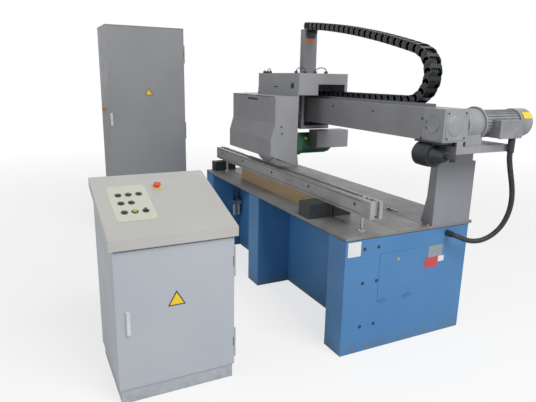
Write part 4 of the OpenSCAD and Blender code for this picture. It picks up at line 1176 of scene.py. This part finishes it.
def dress_carriage():
    """Screws, ports and fittings of the carriage's box, the hood and the mast."""
    side = (1, 0, 0)
    spots = [((130, -383, 1366), side), ((130, -377, 1311), side)]
    screws("hood_side_screws", "carriage", "screw", spots, 6, 3)
    # A dark strip on the hood's front: painted shade in a recess
    piece(
        "hood_recess_shade",
        "hood_cover",
        "gap_shade",
        [(brick, (-380, -180), (-445.8, -444), (1560, 1576))],
        0.5,
    )
    port = [(26, -1), (26, 2), (20, 3.5), (19, 1), (0.5, 0.6)]
    piece("box_port", "carriage", "rubber", [(lathe, (23, -235, 1679), (0, -1, 0), port)])
    # A dark strip on the box's front: painted shade in a slot
    piece(
        "box_slot_shade",
        "carriage",
        "gap_shade",
        [(brick, (-300, -236), (-235.8, -234), (1663, 1673))],
    )
    fittings = []
    valves = ((-560, -200), (-520, -190), (-455, -195))
    for x, y in valves + ((-20, -180), (20, -120), (75, -60), (80, 40)):
        fittings += [
            (brick, (x - 13, x + 13), (y - 10, y + 10), (1779, 1797)),
            (rod, (x + 4, y, 1796), (x + 4, y, 1808), 6, 4, 12),
        ]
    piece("box_top_fittings", "carriage", "screw", fittings, 1.5)
    near = ((-16, -180, 1806), (10, -172, 1820), (30, -140, 1818), (24, -120, 1806))
    far = ((-516, -190, 1806), (-495, -190, 1819), (-470, -194, 1818), (-451, -195, 1806))
    rear = ((79, -60, 1806), (92, -30, 1822), (92, 10, 1822), (84, 40, 1806))
    lines = [(tube, near, 3), (tube, far, 3), (tube, rear, 3.5)]
    piece("box_air_lines", "carriage", "cable", lines)
    piece(
        "mast_clevis",
        "carriage",
        "chain",
        [
            (brick, (-332, -300), (88, 182), (2140, 2168)),
            (brick, (-334, -322), (92, 178), (2085, 2150)),
            (rod, (-318, 84, 2128), (-318, 186, 2128), 9),
        ],
        2,
    )
    piece(
        "mast_plate",
        "carriage",
        "orange",
        [(brick, (-335, -332.5), (84, 162), (2040, 2080))],
        0.5,
    )
    spots = [((x, -96, z), (0, -1, 0)) for x in (-380, -200) for z in (1420, 1690)]
    screws("slide_screws", "saw_unit", "screw", spots, 5, 3)
    piece("motor_spot", "saw_unit", "yellow", [(rod, (-152, 10, 1230), (-149.5, 10, 1231), 13)])
    piece("side_box_lid", "saw_unit", "hood", [(brick, (-56, -46), (62, 383), (1158, 1302))], 3)


CLAMP_FAR_X, CLAMP_TOP_Z = -1345, 1015


def dress_clamp():
    """Grooves darkened with painted shade, bright strips of painted highlight along the top edges,
    screws of the pressure beam, and the marker on its far end.
    """
    # Dark strips on the beam's front and top: painted shade in its grooves and in the gap behind
    # the front rail
    piece(
        "clamp_groove_shade",
        "clamp",
        "gap_shade",
        [
            (brick, (CLAMP_FAR_X, 1180), (-366, -364), (1001, 1004)),
            (brick, (CLAMP_FAR_X, 1180), (-366, -364), (922, 925)),
            (brick, (CLAMP_FAR_X, 1180), (-352, -349), (1014, CLAMP_TOP_Z + 0.4)),
        ],
    )
    # Bright strips along the two top edges: painted highlights
    piece(
        "clamp_edge_highlights",
        "clamp",
        "zinc",
        [
            (brick, (CLAMP_FAR_X, 1265), (-365, -354), (1014, 1016.5)),
            (brick, (CLAMP_FAR_X, 1265), (-295, -285), (1014, 1016.5)),
        ],
        0.6,
    )
    spots = [((x, -365, 970), (0, -1, 0)) for x in (1110, 540, -60, -660, -1200)]
    screws("clamp_screws", "clamp", "screw", spots, 8, 5)
    spots = [((x, -312.5, CLAMP_TOP_Z), (0, 0, 1)) for x in (1106, 1164, -1334, -1276)]
    screws("bridge_screws", "clamp", "screw", spots, 7, 6)
    piece(
        "clamp_end_marker",
        "clamp",
        "orange",
        [(brick, (CLAMP_FAR_X, -1230), (-293, -272), (CLAMP_TOP_Z, 1017))],
        0.4,
    )


def dress_table():
    """The end block's screws, the far stop, clips, air lines, the valve block and its bowls."""
    spots = [((x, y, BOARD_TOP_Z), (0, 0, 1)) for x, y in ((693, -453), (752, -384))]
    screws("block_screws", "base", "screw", spots, 8, 3)
    piece(
        "far_stop_block",
        "base",
        "block",
        [
            (brick, (-1248, -1150), (-460, -300), (TABLE_Z, 892)),
            (brick, (-1248, -1200), (-300, -210), (TABLE_Z, 860)),
        ],
        4,
    )
    piece(
        "table_clips",
        "base",
        "zinc",
        [
            (brick, (770, 830), (185, 200), (TABLE_Z, 812)),
            (brick, (842, 868), (192, 212), (TABLE_Z, 808)),
            (rod, (800, 192, 810), (800, 192, 822), 8),
        ],
        1.5,
    )
    lines = []
    for i, (x, y) in enumerate(((-1046, -292), (-1030, -250), (-1010, -310), (-985, -268))):
        route = [
            (x, y, 498),
            (x + 8, y - 6, 560),
            (x + 60 + 25 * i, y - 30, 650),
            (x + 90 + 40 * i, y - 10, 730),
            (x + 95 + 42 * i, y, 782),
        ]
        lines.append((tube, route, 5))
    piece("air_lines", "base", "cable", lines)
    piece(
        "valve_block",
        "base",
        "alloy",
        [(brick, (-980, -760), (-260, -222), (690, 780))]
        + [(rod, (-960 + 30 * i, -262, 735), (-960 + 30 * i, -280, 735), 7) for i in range(7)],
        2,
    )
    bowl = [(9, -4), (15, 0), (20.5, 10), (20.5, 104), (14, 110)]
    bowls = [(lathe, (-1030, y, 350), (0, 0, 1), bowl) for y in (-293, -249)]
    piece("air_bowls", "base", "bowl", bowls)


def dress_all():
    finish_nodes()
    dress_base()
    hang_hose()
    lay_chain()
    dress_console()
    dress_cabinet()
    dress_gantry()
    dress_carriage()
    dress_clamp()
    dress_table()


dress_all()


# Studio


def studio():
    """A pale floor that is nearly white to the camera and keeps the shadow, and soft lamps."""
    floor_mesh = bpy.data.meshes.new("floor")
    shape = bmesh.new()
    bmesh.ops.create_circle(shape, cap_ends=True, segments=96, radius=40)
    shape.to_mesh(floor_mesh)
    shape.free()
    floor = bpy.data.objects.new("floor", floor_mesh)
    bpy.context.collection.objects.link(floor)
    floor.location.z = -0.0005
    made = bpy.data.materials.new("pale_floor")
    made.use_nodes = True
    tree = made.node_tree
    tree.nodes.clear()
    seen = node(tree, "ShaderNodeLightPath").outputs["Is Camera Ray"]
    place = node(tree, "ShaderNodeTexCoord").outputs["Object"]
    away = node(tree, "ShaderNodeVectorMath", {0: place}, operation="LENGTH").outputs["Value"]
    fade = node(
        tree,
        "ShaderNodeMapRange",
        {"Value": away, "From Min": 2.5, "From Max": 9.0, "To Min": 0.7, "To Max": 1.0},
    ).outputs[0]
    share = times(tree, seen, fade)
    matt = node(tree, "ShaderNodeBsdfDiffuse", {"Color": srgb("#f2f2f2")})
    glow = node(tree, "ShaderNodeEmission", {"Color": (1, 1, 1, 1), "Strength": 1.0})
    both = node(tree, "ShaderNodeMixShader", {0: share, 1: matt.outputs[0], 2: glow.outputs[0]})
    node(tree, "ShaderNodeOutputMaterial", {0: both.outputs[0]})
    floor_mesh.materials.append(made)

    world = bpy.data.worlds.new("studio")
    bpy.context.scene.world = world
    world.use_nodes = True
    tree = world.node_tree
    tree.nodes.clear()
    path = node(tree, "ShaderNodeLightPath")
    clear = node(
        tree,
        "ShaderNodeMath",
        {0: path.outputs["Is Camera Ray"], 1: path.outputs["Is Glossy Ray"]},
        operation="MAXIMUM",
    )
    clear = node(
        tree,
        "ShaderNodeMath",
        {0: clear.outputs[0], 1: path.outputs["Is Transmission Ray"]},
        operation="MAXIMUM",
    )
    strength = node(
        tree,
        "ShaderNodeMapRange",
        {"Value": clear.outputs[0], "To Min": 0.36, "To Max": 1.0},
    )
    sky = node(
        tree,
        "ShaderNodeBackground",
        {"Color": (1, 1, 1, 1), "Strength": strength.outputs[0]},
    )
    node(tree, "ShaderNodeOutputWorld", {0: sky.outputs[0]})

    softbox("key_lamp", (6.2, 0.6, 6.4), (0.2, -0.3, 0.9), 4.5, 460)
    softbox("fill_lamp", (0.5, -7.0, 4.0), (0.0, -0.5, 0.8), 4.0, 85)


set_camera()
studio()
bpy.context.scene.view_settings.view_transform = "Standard"
